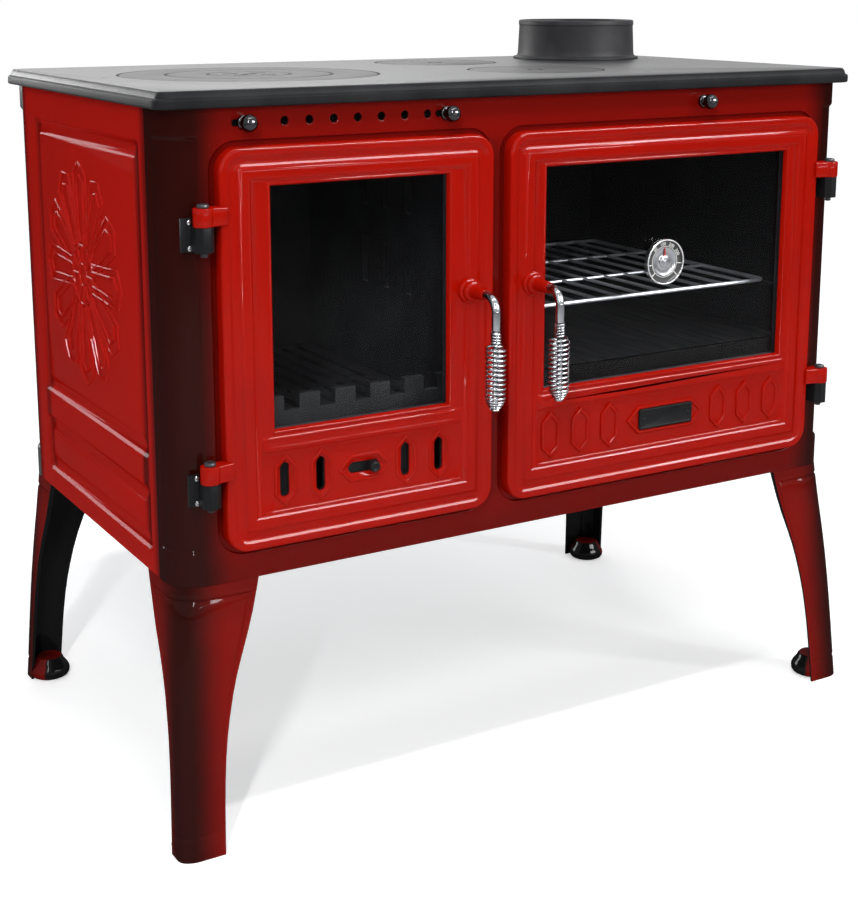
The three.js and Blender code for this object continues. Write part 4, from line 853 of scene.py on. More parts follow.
dialWhite = printPaint("dialWhite", (0.8, 0.79, 0.76), 0.45)
pointerRed = printPaint("pointerRed", (0.42, 0.02, 0.012), 0.35)
sheetSteel = steelPaint("sheetSteel", (0.10, 0.10, 0.11), 0.42)
ovenSteel = steelPaint("ovenSteel", (0.011, 0.011, 0.012), 0.5)
doorPane = panePaint()
sealRope = ropePaint()


print("front and back castings")

cornerSteps = 12
airHoles = 7
casting = metres({
    "corner": 40,
    "faceThickness": 11,
    "wall": 7,
    "fluteBottom": 37,
    "fluteTop": 28,
    "fluteStrip": 6,
    "fluteSteps": [(1.1, -0.4), (1.3, -1.1), (1.3, -1.1), (1.1, -0.4)],
    "backBorder": 34,
    "backDepth": 2.4,
    "backCorner": 9,
    "backFlare": 1.6,
    "rebateMargin": 6,
    "rebateDepth": 4,
    "rebateCorner": 32,
    "rebateFlare": 1.2,
    "landWidth": 20,
    # from each door's lower edge up to the opening behind it
    "sills": (20, 154),
    "openingCorner": 3,
    "openingDepth": 30,
    "airHoleRadius": 4.8,
    "airHolePitch": 29.8,
    "airHoleMiddle": -253,
    "airHoleBelow": 16,
    "holeFlare": 1,
    "holeDepth": 20,
    "stemHole": 3.9,
    # place of each knob's stem and how far it slides to the left
    "stemHoles": [(-391, 10), (-140, 10), (238, 0)],
})
frontY = low("front_casting").y
bodyBottom = low("front_casting").z
bodyTop = high("front_casting").z
# x and z ranges of the fire door and the oven door
doorAreas = metres([(-426, -82, 346, 795), (-59, 426, 346, 795)])


def frontBlock(area, nearY, farY, radius=0, steps=8):
    x0, x1, z0, z1 = area
    tool = addBlock((x0, nearY, z0), (x1, farY, z1))
    if radius:
        bevelEdges(tool, lambda e: runs(e, 1), radius, steps)
    return tool


def grown(area, amount):
    x0, x1, z0, z1 = area
    return x0 - amount, x1 + amount, z0 - amount, z1 + amount


# Widens the near end of a cutter so that the edge it leaves is rounded
def flareFront(tool, grow):
    openEdit(tool)
    for ahead, widen in ((0.35, 0.1), (0.35, 0.25), (0.3, 0.65)):
        verts = bmesh.from_edit_mesh(tool.data).verts
        edge = min(v.co.y for v in verts)
        spots = [v.co.copy() for v in verts if v.co.y < edge + near / 10]
        chooseFaces(tool, lambda f: f.calc_center_median().y < edge + near and f.normal.y < -0.9)
        extrudeY(-ahead * grow)
        factor = [1, 1, 1]
        middle = [0, edge, 0]
        for axis in (0, 2):
            ends = [spot[axis] for spot in spots]
            factor[axis] = 1 + 2 * widen * grow / (max(ends) - min(ends))
            middle[axis] = (max(ends) + min(ends)) / 2
        bpy.ops.transform.resize(value=factor, center_override=middle)
    chooseFaces(tool, lambda f: f.normal.y < -0.9)
    extrudeY(-grow)
    closeEdit()
    return tool


def castingShell(name, node, thickness):
    start, end = low(node), high(node)
    shell = addBlock(start, end, name)
    corner = casting["corner"]
    bevelEdges(shell, lambda e: runs(e, 2) and middleOf(e).y < start.y + near, corner, cornerSteps)
    fluteLow = bodyBottom + casting["fluteBottom"]
    fluteHigh = bodyTop - casting["fluteTop"]
    fluteBack = start.y + corner + casting["fluteStrip"]
    openEdit(shell)
    for axis, level in ((2, fluteLow), (2, fluteHigh), (1, fluteBack)):
        selectAll()
        sliceAt(axis, level)

    def inFlute(face):
        spot = face.calc_center_median()
        inHeight = fluteLow < spot.z < fluteHigh and abs(face.normal.z) < 0.1
        return inHeight and spot.y < fluteBack and abs(spot.x) > end.x - corner

    chooseFaces(shell, inFlute)
    stepInset(casting["fluteSteps"])
    closeEdit()
    wall = casting["wall"]
    edge = start.y + thickness
    inner = (start.x + wall, edge, bodyBottom - over)
    inside = addBlock(inner, (end.x - wall, end.y + over, bodyTop + over))
    bevelEdges(inside, lambda e: runs(e, 2) and middleOf(e).y < edge + near, corner - thickness, cornerSteps)
    return carve(shell, inside)


def makeFrontCasting():
    shell = castingShell("frontCasting", "front_casting", casting["faceThickness"])
    land = casting["landWidth"]
    flare = casting["rebateFlare"]
    tools = []
    for area, sill in zip(doorAreas, casting["sills"]):
        rebate = grown(area, casting["rebateMargin"])
        floor = frontY + casting["rebateDepth"]
        tools.append(flareFront(frontBlock(rebate, frontY + flare, floor, casting["rebateCorner"]), flare))
        x0, x1, z0, z1 = area
        opening = (x0 + land, x1 - land, z0 + sill, z1 - land)
        back = frontY + casting["openingDepth"]
        tools.append(frontBlock(opening, frontY - over, back, casting["openingCorner"], 4))
    line = bodyTop - casting["airHoleBelow"]
    flare = casting["holeFlare"]
    back = frontY + casting["holeDepth"]
    for step in range(airHoles):
        x = casting["airHoleMiddle"] + (step - airHoles // 2) * casting["airHolePitch"]
        hole = addRod((x, back, line), (x, frontY + flare, line), casting["airHoleRadius"], 24)
        tools.append(flareFront(hole, flare))
    half = casting["stemHole"]
    for x, travel in casting["stemHoles"]:
        area = (x - travel - half, x + half, line - half, line + half)
        tools.append(frontBlock(area, frontY - over, back, half - near, 6))
    carve(shell, *tools)
    soften(shell, 32)
    applyModifier(shell, "WEIGHTED_NORMAL", keep_sharp=True, weight=80)
    finishPiece(shell, None, "stove", "dark_enamel", castingEnamel, "front_casting")


def makeBackCasting():
    node = "back_casting"
    shell = castingShell("tool", node, casting["wall"])
    nearY = low(node).y
    border = casting["backBorder"]
    flare = casting["backFlare"]
    side = high(node).x - casting["corner"] - border
    field = (-side, side, bodyBottom + border, bodyTop - border)
    tool = frontBlock(field, nearY + flare, nearY + casting["backDepth"], casting["backCorner"])
    carve(shell, flareFront(tool, flare))
    twin = mirrorTwin(shell, "backCasting", [1], centreOf(node).y)
    bpy.data.objects.remove(shell)
    finishPiece(twin, 32, "stove", "black_iron", blackIron, node)


makeFrontCasting()
makeBackCasting()


print("side panels")

sidePanel = metres({
    "pocket": 0.3,
    "corner": 9,
    # y and z ranges of the two recesses
    "recesses": [(-172, 207, 443, 800), (-172, 207, 335, 410)],
    # the hollow up to where its corners turn square, the rest of it and the field's edge
    "coveStart": [(1.2, -0.8), (1.6, -1.6), (2.0, -1.3)],
    "coveRest": [(2.6, -0.9), (3.2, -0.4), (3.2, 0.4), (3.6, 1.1), (3.6, 1.6), (0.9, 0.9), (0.8, 0.25)],
})
petals = 12
rosette = metres({
    "middle": (8, 621),
    "line": 2.3,
    "spoke": 1.84,
    "depth": 1.15,
    # distance from the middle and half width at each turn of a petal's outline
    "outer": [(36, 17.5), (80, 20.5), (122, 23), (136.3, 0)],
    "inner": [(34, 8.5), (84, 11), (111, 13), (120, 0)],
    "hubRings": (36, 13),
})


# Raised lines on a panel's field: pointed petals that cross each other
def makeRosette(level):
    lines = []
    for outline in (rosette["outer"], rosette["inner"]):
        half = [(level, across, along) for along, across in outline]
        other = [(level, -across, along) for along, across in reversed(outline[:-1])]
        lines.append(tubeAlong("line", half + other, rosette["line"], 2))
    spoke = [(level, 0, reach) for reach in reversed(rosette["hubRings"])]
    lines.append(tubeAlong("line", spoke, rosette["spoke"], 2))
    made = []
    for step in range(petals):
        for line in lines:
            made.append(turn(duplicate(line, "line"), 2 * math.pi * step / petals, "X"))
    for line in lines:
        bpy.data.objects.remove(line)
    for reach in rosette["hubRings"]:
        ring = [(level, a, b) for a, b in arc(reach, 0, 360, 48)[:-1]]
        made.append(tubeAlong("line", ring, rosette["line"], 2, True))
    y, z = rosette["middle"]
    return [shift(piece, 0, y + body["middle"], z) for piece in made]


def makeSidePanels():
    node = "left_side_panel"
    panel = addBlock(low(node), high(node))
    faceX = low(node).x
    floorX = faceX + sidePanel["pocket"]
    for y0, y1, z0, z1 in sidePanel["recesses"]:
        tool = addBlock((faceX - over, y0, z0), (floorX, y1, z1))
        carve(panel, bevelEdges(tool, lambda e: runs(e, 0), sidePanel["corner"], 6))
    for y0, y1, z0, z1 in sidePanel["recesses"]:

        def onFloor(face):
            spot = face.calc_center_median()
            return face.normal.x < -0.9 and abs(spot.x - floorX) < near and z0 < spot.z < z1

        openEdit(panel)
        chooseFaces(panel, onFloor)
        bpy.ops.mesh.dissolve_faces()
        stepInset(sidePanel["coveStart"])
        squareCorners(panel, (1, 2))
        stepInset(sidePanel["coveRest"])
        closeEdit()
    joinLoose("leftSidePanel", panel, *makeRosette(faceX + rosette["depth"]))
    twin = mirrorTwin(panel, "rightSidePanel", [0])
    finishPiece(panel, 28, "stove", "red_enamel", sideEnamel, node)
    finishPiece(twin, 28, "stove", "red_enamel", sideEnamel, "right_side_panel")


makeSidePanels()


print("hob plate, lids and flue")

hob = metres({
    "corner": 18,
    "bandHeight": 9,
    "edgeSteps": [
        (0.5, 0.7), (0.9, 0.9), (1.6, 0.6), (0.5, 0.3),
        (0.8, 2.6), (1.2, 2.5), (1.3, 1.6), (1.5, 0.8),
    ],
    "footBevel": 2.5,
    "undercut": 7,
    "rim": 27,
    "flange": 4,
    "clear": 0.8,
    "seat": 8,
    # height over the top face and growth over the seat's radius at both ends of the lip
    "lip": [(-0.6, -0.2), (0.4, 0.8)],
    "flueBore": 80,
    "sinkRadius": 4.7,
    "sinkDepth": 0.5,
    "screwProfile": [(0, -0.5), (4.2, -0.5), (4.0, -0.15), (3.4, 0), (0, 0)],
    # half length, half width and depth of a screw's slot
    "driver": (2.8, 0.5, 0.35),
    "screws": [(-445, 34), (-207, 288), (-198, -194), (191, -190), (451, 40)],
})
lid = metres({
    "soft": 0.7,
    "core": 4,
    "hollow": 3.6,
    "slot": (11, 4),
    "slotSpread": (26, 24),
    "sink": 10.5,
    "bar": 2.6,
    "outerRing": (159, 94, 102.8),
    "innerRing": (102, 43, 51.8),
    "centre": (51, 0, 0),
    "rear": (84, 0, 0),
    "front": (87, 0, 0),
})
flue = metres({
    "foot": [
        (80, 0), (93.6, 0), (94, 0.5), (94, 2.2), (93.2, 3),
        (90, 3.6), (88, 5.2), (87.2, 8), (86.8, 14),
    ],
    # heights from the top edge
    "rim": [
        (85.2, -9), (85.3, -7.4), (85.9, -6.6), (85.9, -2), (85.2, -0.6),
        (83.8, 0), (81.4, 0), (80.3, -0.8), (80, -2.2),
    ],
})
hobTop = high("hob_plate").z
hobBottom = low("hob_plate").z


def spotOf(node):
    return centreOf(node).x, centreOf(node).y


largeSpot, rearSpot, frontSpot = [spotOf(node) for node in ("large_hob_ring", "rear_lid", "front_lid")]


def makeHobPlate():
    start, end = low("hob_plate"), high("hob_plate")
    plate = addBlock(start, (end.x, end.y, hobBottom + hob["bandHeight"]))
    bevelEdges(plate, lambda e: runs(e, 2), hob["corner"], 8)
    bevelEdges(plate, lambda e: not runs(e, 2) and middleOf(e).z < hobBottom + near, hob["footBevel"], 3)
    openEdit(plate)
    chooseFaces(plate, lambda f: f.normal.z > 0.9)
    steps = hob["edgeSteps"]
    spare = (hobTop - hobBottom - hob["bandHeight"] - sum(rise for _, rise in steps)) / len(steps)
    stepInset([(width, rise + spare) for width, rise in steps])
    closeEdit()
    rim = hob["rim"]
    under = (end.x - rim, end.y - rim, hobBottom + hob["undercut"])
    tools = [addBlock((start.x + rim, start.y + rim, hobBottom - over), under)]
    (below, thin), (above, wide) = hob["lip"]
    for (x, y), size in ((largeSpot, "outerRing"), (rearSpot, "rear"), (frontSpot, "front")):
        radius = lid[size][0]
        seat = radius + hob["clear"]
        floor = hobTop - hob["flange"]
        tools.append(addPost(x, y, floor, hobTop + over, seat, 128))
        tools.append(addPost(x, y, hobTop + below, hobTop + above, seat + thin, 128, seat + wide))
        tools.append(addPost(x, y, hobBottom - over, floor + 1 * mm, radius - hob["seat"], 96))
    tools.append(addPost(*spotOf("flue_collar"), hobBottom - over, hobTop + over, hob["flueBore"], 96))
    heads = []
    length, width, depth = hob["driver"]
    for x, y in hob["screws"]:
        tools.append(addPost(x, y, hobTop - hob["sinkDepth"], hobTop + over, hob["sinkRadius"], 32))
        head = spinProfile("head", hob["screwProfile"], (x, y, hobTop), steps=32)
        corner = (x - length, y - width, hobTop - depth)
        heads.append(carve(head, addBlock(corner, (x + length, y + width, hobTop + over))))
    carve(plate, *tools)
    joinLoose("hobPlate", plate, *heads)
    finishPiece(plate, 30, "stove", "hob_iron", hobIron, "hob_plate")


def ringProfile(outer, bore, seat):
    soft = lid["soft"]
    edge = 0.3 * mm
    flange = hobTop - hob["flange"]
    bottom = flange + edge - lid["core"]
    core = outer - hob["seat"] - hob["clear"]
    points = [
        (bore, bottom),
        (core, bottom),
        (core, flange + edge),
        (outer - edge, flange + edge),
        (outer, flange + 2 * edge),
        (outer, hobTop - soft),
        (outer - 0.25 * soft, hobTop - 0.3 * soft),
        (outer - soft, hobTop),
    ]
    if not seat:
        return points + [(0, hobTop)]
    return points + [
        (seat + soft, hobTop),
        (seat + 0.25 * soft, hobTop - 0.3 * soft),
        (seat, hobTop - soft),
        (seat, flange),
        (bore, flange),
    ]


def liftSlot(x, y):
    length, width = lid["slot"]
    slot = addBlock((-length, -width, hobTop - lid["hollow"]), (length, width, hobTop + over))
    return shift(bevelEdges(slot, lambda e: runs(e, 2), width - near, 6), x, y, 0)


# A round sinking with a bar left across it, for the lifting hook
def bridgedSink(x, y):
    sink = addPost(x, y, hobTop - lid["hollow"], hobTop + over, lid["sink"], 32)
    reach = 2 * over
    corner = (x - lid["bar"], y - reach, hobTop - reach)
    return carve(sink, addBlock(corner, (x + lid["bar"], y + reach, hobTop + reach)))


def makeLids():
    x, y = largeSpot
    across, along = lid["slotSpread"]
    slots = [liftSlot(x, y)]
    for step in range(4):
        angle = math.radians(45 + 90 * step)
        slots.append(liftSlot(x + across * math.cos(angle), y + along * math.sin(angle)))
    spots = [(largeSpot, 0.16), (rearSpot, 0.085), (frontSpot, 0.088)]
    paint = turnedPaint("turnedIron", spots, (0.014, 0.0145, 0.016), (0.030, 0.031, 0.033), 0.42)
    rows = [
        ("largeRing", "outer_ring", "large_hob_ring", largeSpot, "outerRing", 128, []),
        ("smallRing", "inner_ring", "small_hob_ring", largeSpot, "innerRing", 112, []),
        ("centreLid", "centre_cover", "centre_lid", largeSpot, "centre", 96, slots),
        ("rearLid", "rear_cover", "rear_lid", rearSpot, "rear", 112, [bridgedSink(*rearSpot)]),
        ("frontLid", "front_cover", "front_lid", frontSpot, "front", 112, [bridgedSink(*frontSpot)]),
    ]
    for name, rider, node, spot, size, steps, tools in rows:
        profile = ringProfile(*lid[size])
        piece = spinProfile(name, profile, (*spot, 0), steps=steps, closed=lid[size][2] > 0)
        finishPiece(carve(piece, *tools), 30, rider, "hob_iron", paint, node)


def makeFlue():
    node = "flue_collar"
    profile = lifted(flue["foot"], low(node).z) + lifted(flue["rim"], high(node).z)
    collar = spinProfile("flueCollar", profile, (*spotOf(node), 0), steps=112, closed=True)
    finishPiece(collar, 30, "stove", "hob_iron", flueIron, node)


makeHobPlate()
makeLids()
makeFlue()


print("legs")

leg = metres({
    "armX": 98,
    "armY": 88,
    "wall": 7,
    "corner": 40,
    "rimBelow": 9,
    "footLine": 20,
    "rimReach": 15,
    "rimSteps": [(4.0, 0), (1.2, -0.5), (1.2, -1.1), (1.2, -0.5), (1.6, 0.6), (1.8, 1.1), (1.4, 0.4)],
    "footRadius": 28,
    "footProfile": [
        (0, 0), (20.5, 0), (22.5, 0.6), (25.5, 2.2), (27.4, 5), (28, 8.5), (27.6, 12),
        (26, 15.5), (23, 19.5), (20.5, 23), (19, 27), (17, 29), (0, 29.5),
    ],
    "plate": (74, 62, 6),
})
# share of the height, share of the front arm, share of the side arm
legStations = [
    (1.0, 1.0, 1.0), (0.95, 0.97, 0.955), (0.88, 0.92, 0.87), (0.8, 0.85, 0.775), (0.72, 0.77, 0.65),
    (0.65, 0.705, 0.56), (0.58, 0.655, 0.49), (0.5, 0.61, 0.44), (0.43, 0.58, 0.405), (0.36, 0.56, 0.385),
    (0.27, 0.545, 0.372), (0.18, 0.538, 0.37), (0.1, 0.535, 0.37), (0.0, 0.535, 0.37),
]


def legShares(height):
    share = height / bodyBottom
    for (s1, x1, y1), (s0, x0, y0) in zip(legStations, legStations[1:]):
        if s0 <= share <= s1 + near:
            part = (share - s0) / (s1 - s0)
            return x0 + (x1 - x0) * part, y0 + (y1 - y0) * part
    return legStations[0 if share > 1 else -1][1:]


def makeLegs():
    top = high("leg_front_left").z
    cornerX = low("front_casting").x
    wall, corner = leg["wall"], leg["corner"]
    armX, armY = cornerX + leg["armX"], frontY + leg["armY"]

    # A block whose outer upright edge is rounded, some way in from the leg's faces
    def angleBlock(inset, farX, farY, bottom, upper, name="tool"):
        def atCorner(edge):
            spot = middleOf(edge)
            return runs(edge, 2) and spot.x < cornerX + inset + near and spot.y < frontY + inset + near

        block = addBlock((cornerX + inset, frontY + inset, bottom), (farX, farY, upper), name)
        return bevelEdges(block, atCorner, corner - inset, 10)

    piece = angleBlock(0, armX, armY, 0, top, "legFrontLeft")
    carve(piece, angleBlock(wall, armX + over, armY + over, -over, top + over))
    rimLine = top - leg["rimBelow"]
    footLine = leg["footLine"]
    reach = leg["rimReach"]
    levels = [bodyBottom * share for share, _, _ in legStations]
    openEdit(piece)
    for level in [z for z in levels if footLine + reach < z < rimLine - reach] + [rimLine, footLine]:
        selectAll()
        sliceAt(2, level)

    def isOutside(face):
        inHeight = footLine < face.calc_center_median().z < rimLine and abs(face.normal.z) <= 0.1
        return inHeight and face.normal.x + face.normal.y < -0.7

    def lean(vert):
        shareX, shareY = legShares(vert.co.z)
        fall = 1 - vert.co.z / bodyBottom
        vert.co.x = cornerX - body["leanX"] * fall + (vert.co.x - cornerX) * shareX
        vert.co.y = frontY - body["leanY"] * fall + (vert.co.y - frontY) * shareY

    chooseFaces(piece, isOutside)
    stepInset(leg["rimSteps"])
    moveVerts(piece, lean)
    closeEdit()
    half = wall / 2
    plateX, plateY, thickness = leg["plate"]
    farX, farY = cornerX + half + plateX, frontY + half + plateY
    plate = angleBlock(half, farX, farY, top - thickness, top - 0.2 * mm)
    footX = cornerX - body["leanX"] + leg["footRadius"]
    footY = frontY - body["leanY"] + leg["footRadius"]
    unite(piece, plate, spinProfile("foot", leg["footProfile"], (footX, footY, 0), steps=48))
    middleY = (low("leg_front_left").y + high("leg_rear_left").y) / 2
    rows = [
        ("legFrontRight", "leg_front_right", [0]),
        ("legRearLeft", "leg_rear_left", [1]),
        ("legRearRight", "leg_rear_right", [0, 1]),
    ]
    for name, node, axes in rows:
        twin = mirrorTwin(piece, name, axes, middleY)
        finishPiece(twin, 34, "stove", "red_enamel", legEnamel, node)
    finishPiece(piece, 34, "stove", "red_enamel", legEnamel, "leg_front_left")


makeLegs()


print("doors")

door = metres({
    "edge": 3,
    "backEdge": 0.8,
    "corner": 26,
    # width inward and rise toward the room of each step of the moulded ring
    "ringOuter": [
        (1.0, 0), (4.0, 0), (0.8, -0.2), (1.6, -0.9), (1.6, -0.9), (1.4, -0.35),
        (2.2, -0.15), (2.2, 0.15), (1.8, 0.5), (1.8, 0.9), (1.4, 0.55),
    ],
    "ringInner": [
        (1.8, 0.3), (2.4, 0.12), (2.6, 0), (2.4, -0.12),
        (1.8, -0.35), (1.4, -0.8), (1.4, -1.0), (1.2, -0.35),
    ],
    "sideShift": 4.5,
    "glassTop": 43,
    "glassBottom": 134,
    "mouthBead": [(0.7, 0.5), (0.9, 0.25), (0.8, -0.25), (0.8, -0.6), (1.0, -3.0)],
    "mouthInset": 0.3,
    "mouthCorner": 2,
    "bandSteps": [(1.2, 0.1), (1.4, 1.33), (1.6, 0.57), (2.0, 0), (1.6, -0.475), (1.6, -0.19)],
    "panelTop": 454,
    "panelBottom": 384,
    "panelSteps": [(1.0, -0.3), (1.6, -0.8), (1.4, -0.5)],
    "panelMiddle": 421,
    "paneSeat": 10.3,
    "paneClear": 0.3,
    "sealInset": 5,
    "sealWidth": 8,
    "sealDepth": 5.7,
    "pocketMargin": 24,
    "pocketHalf": 40,
    "skin": 8.5,
    "fireBorder": 60,
    "ovenBorder": 53,
})
doorFront = frontY - 14 * mm
doorBack = doorFront + 16.5 * mm
panelFloor = doorFront + 4.2 * mm
slots = metres({
    "outer": 100,
    "inner": 55,
    "size": (11.5, 40),
    "frame": (21, 53),
    "depth": 2.4,
    "band": 3.6,
    "rise": 1.6,
})
slide = metres({"size": (40, 13), "frame": (60, 25)})
# how much of its mouth's width and height a slot's hollow keeps at the floor
narrow = {"slots": (0.64, 0.8), "slide": (0.74, 0.62)}
relief = metres({"inner": 88.5, "pitch": 45, "size": (28, 60), "band": 5.4, "rise": 3.0})
plateBorder = metres({"size": (124, 37), "band": 5})
boss = metres({
    "inset": 33,
    "rise": 268,
    "bore": 5.5,
    "profile": [
        (0, -4), (15, -4), (15, 0.6), (14.6, 1.8), (13.4, 2.6), (12.4, 3.0), (12, 3.6), (12, 6.4),
        (11.4, 8), (10, 8.9), (8.8, 9), (7.9, 9.9), (7.6, 12), (6.8, 34.2), (6.2, 35), (0, 35),
    ],
})
hinge = metres({
    "out": 20,
    "forward": 1,
    "barrel": 11,
    "barrelEdge": 1.2,
    "bore": 4.3,
    "half": 10,
    "upper": 71,
    "lower": 97,
    # how far the arm reaches onto the door, and from the pin to its front and its back
    "arm": (6, 8.5, 13),
    "armEdge": 1.6,
    "armSlope": 5.5,
})


# A plate with the outline of a long hexagon, lying in the front plane
def hexagonPlate(x, z, size, nearY, farY, wide=False):
    tip = size[0 if wide else 1] / 2
    side = size[1 if wide else 0] / 2
    shoulder = tip - side
    outline = [(0, -tip), (side, -shoulder), (side, shoulder)]
    outline += [(-across, -along) for across, along in outline]
    if wide:
        outline = [(b, -a) for a, b in outline]
    plate, mesh = openEmpty()
    mesh.faces.new([mesh.verts.new((x + a, farY, z + b)) for a, b in outline])
    bmesh.update_edit_mesh(plate.data)
    selectAll()
    bpy.ops.mesh.select_mode(type="FACE")
    extrudeY(nearY - farY)
    closeEdit()
    return turnOutward(plate)


# A raised line along the outline of a long hexagon, with a rounded top
def hexagonLine(x, size, band, rise, wide=False):
    z = door["panelMiddle"]
    plate = hexagonPlate(x, z, size, panelFloor - 0.35 * rise, panelFloor + 2 * mm, wide)
    openEdit(plate)
    chooseFaces(plate, lambda f: f.normal.y < -0.9)
    part = band / 8
    stepInset([(part, 0.4 * rise), (part, 0.2 * rise), (2 * part, 0.05 * rise)])
    stepInset([(2 * part, -0.05 * rise), (part, -0.2 * rise), (part, -0.4 * rise), (0.2 * mm, -0.25 * rise)])
    closeEdit()
    return plate


# A long hexagonal hollow that narrows down to its floor, and the slot through it
def hexagonSlot(x, frameSize, size, share, wide=False):
    z = door["panelMiddle"]
    floor = panelFloor + slots["depth"]
    nearY = panelFloor - 1 * mm
    sink = hexagonPlate(x, z, frameSize, nearY, floor, wide)
    openEdit(sink)
    chooseFaces(sink, lambda f: f.normal.y > 0.9)
    bpy.ops.transform.resize(value=(share[0], 1, share[1]), center_override=(x, floor, z))
    closeEdit()
    width, height = size
    area = (x - width / 2, x + width / 2, z - height / 2, z + height / 2)
    return [sink, frontBlock(area, nearY, doorBack + over, min(size) / 2 - near, 6)]


def doorBlank(area):
    blank = frontBlock(area, doorFront, doorBack, door["corner"], 10)
    bevelEdges(blank, lambda e: not runs(e, 1) and middleOf(e).y < doorFront + near, door["edge"], 4)
    bevelEdges(blank, lambda e: not runs(e, 1) and middleOf(e).y > doorBack - near, door["backEdge"], 2)
    openEdit(blank)
    chooseFaces(blank, lambda f: f.normal.y < -0.999)
    stepInset(door["ringOuter"])
    squareCorners(blank, (0, 2))
    stepInset(door["ringInner"])

    def narrowField(vert):
        if vert.select:
            vert.co.x += door["sideShift"] if vert.co.x < (area[0] + area[1]) / 2 else -door["sideShift"]

    moveVerts(blank, narrowField)
    closeEdit()
    return blank


# Shapes the bead round the glass, the band below it and the sunk panel
def cutField(blank, glass):
    faces = [face for face in blank.data.polygons if face.normal.y < -0.999 and face.area > 0.01]
    floorY = max(blank.data.vertices[face.vertices[0]].co.y for face in faces)
    x0, x1, z0, z1 = grown(glass, sum(width for width, _ in door["mouthBead"]))
    bottom, top = door["panelBottom"], door["panelTop"]

    def inField(face):
        return face.normal.y < -0.999 and abs(face.calc_center_median().y - floorY) < near

    def chooseArea(lowZ, highZ, lowX=-1, highX=1):
        openEdit(blank)
        chooseFaces(
            blank,
            lambda f: inField(f)
            and lowZ < f.calc_center_median().z < highZ
            and lowX < f.calc_center_median().x < highX,
        )

    openEdit(blank)
    for axis, level in ((2, z0), (2, top), (2, bottom), (2, z1), (0, x0), (0, x1)):
        chooseFaces(blank, inField)
        sliceAt(axis, level)
    closeEdit()
    chooseArea(z0, z1, x0, x1)
    stepInset(door["mouthBead"])
    closeEdit()
    for lowZ, highZ, steps in ((bottom, top, "panelSteps"), (top, z0, "bandSteps")):
        chooseArea(lowZ, highZ)
        bpy.ops.mesh.dissolve_faces()
        stepInset(door[steps])
        closeEdit()


# The arm and the barrel that turn on a hinge pin
def makeKnuckle(pinX, pinY, edge, hand, bottom, top):
    reach, front, back = hinge["arm"]
    far = edge - hand * reach
    barrel = addPost(pinX, pinY, bottom, top, hinge["barrel"], 32)
    bevelEdges(barrel, lambda e: not runs(e, 2), hinge["barrelEdge"], 3)
    arm = addBlock((min(pinX, far), pinY - front, bottom), (max(pinX, far), pinY + back, top))
    bevelEdges(arm, lambda e: runs(e, 0), hinge["armEdge"], 3)

    def slope(vert):
        if abs(vert.co.x - far) < near and vert.co.y < pinY:
            vert.co.y += hinge["armSlope"]

    openEdit(arm)
    moveVerts(arm, slope)
    closeEdit()
    return [arm, barrel]


def makeDoor(name, area, border, hand):
    x0, x1, z0, z1 = area
    blank = doorBlank(area)
    glass = (x0 + border, x1 - border, z0 + door["glassBottom"], z1 - door["glassTop"])
    cutField(blank, glass)
    back = doorBack + over
    tools = [frontBlock(grown(glass, -door["mouthInset"]), doorFront - over, back, door["mouthCorner"], 3)]
    paneFront = low("fire_door_glass").y - door["paneClear"]
    tools.append(frontBlock(grown(glass, door["paneSeat"]), paneFront, back))
    middle, margin, half = door["panelMiddle"], door["pocketMargin"], door["pocketHalf"]
    pocket = (x0 + margin, x1 - margin, middle - half, middle + half)
    tools.append(frontBlock(pocket, doorFront + door["skin"], back))
    inset = door["sealInset"]
    groove = frontBlock(grown(area, -inset), doorBack - door["sealDepth"], back, door["corner"] - inset)
    inset += door["sealWidth"]
    core = frontBlock(grown(area, -inset), doorBack - 2 * over, doorBack + 2 * over, door["corner"] - inset)
    carve(blank, *tools, carve(groove, core))
    edge = x0 if hand < 0 else x1
    pinX = edge + hand * hinge["out"]
    pinY = doorFront - hinge["forward"]
    parts = []
    bores = []
    for middle in (z1 - hinge["upper"], z0 + hinge["lower"]):
        bottom, top = middle - hinge["half"], middle + hinge["half"]
        parts += makeKnuckle(pinX, pinY, edge, hand, bottom, top)
        bores.append(addPost(pinX, pinY, bottom - over, top + over, hinge["bore"], 24))
    bossX = x1 - boss["inset"] if hand < 0 else x0 + boss["inset"]
    bossZ = z0 + boss["rise"]
    parts.append(spinProfile("boss", boss["profile"], (bossX, doorFront, bossZ), roomward, 48))
    bores.append(addRod((bossX, doorFront - 5 * over, bossZ), (bossX, back, bossZ), boss["bore"], 24))
    unite(blank, *parts)
    return rename(carve(blank, *bores), name)


def makeFireDoor():
    area = doorAreas[0]
    leaf = makeDoor("fireDoorFrame", area, door["fireBorder"], -1)
    centre = (area[0] + area[1]) / 2
    band, rise = slots["band"], slots["rise"]
    width, height = slots["frame"]
    lines = []
    tools = []
    for offset in (-slots["outer"], -slots["inner"], slots["inner"], slots["outer"]):
        x = centre + offset
        lines.append(hexagonLine(x, (width + 2 * band, height + 2.3 * band), band, rise))
        tools += hexagonSlot(x, slots["frame"], slots["size"], narrow["slots"])
    width, height = slide["frame"]
    lines.append(hexagonLine(centre, (width + 2.3 * band, height + 2 * band), band, rise, True))
    tools += hexagonSlot(centre, slide["frame"], slide["size"], narrow["slide"], True)
    unite(leaf, *lines)
    carve(leaf, *tools)
    finishPiece(leaf, 30, "fire_door", "red_enamel", doorEnamel, "fire_door_frame")


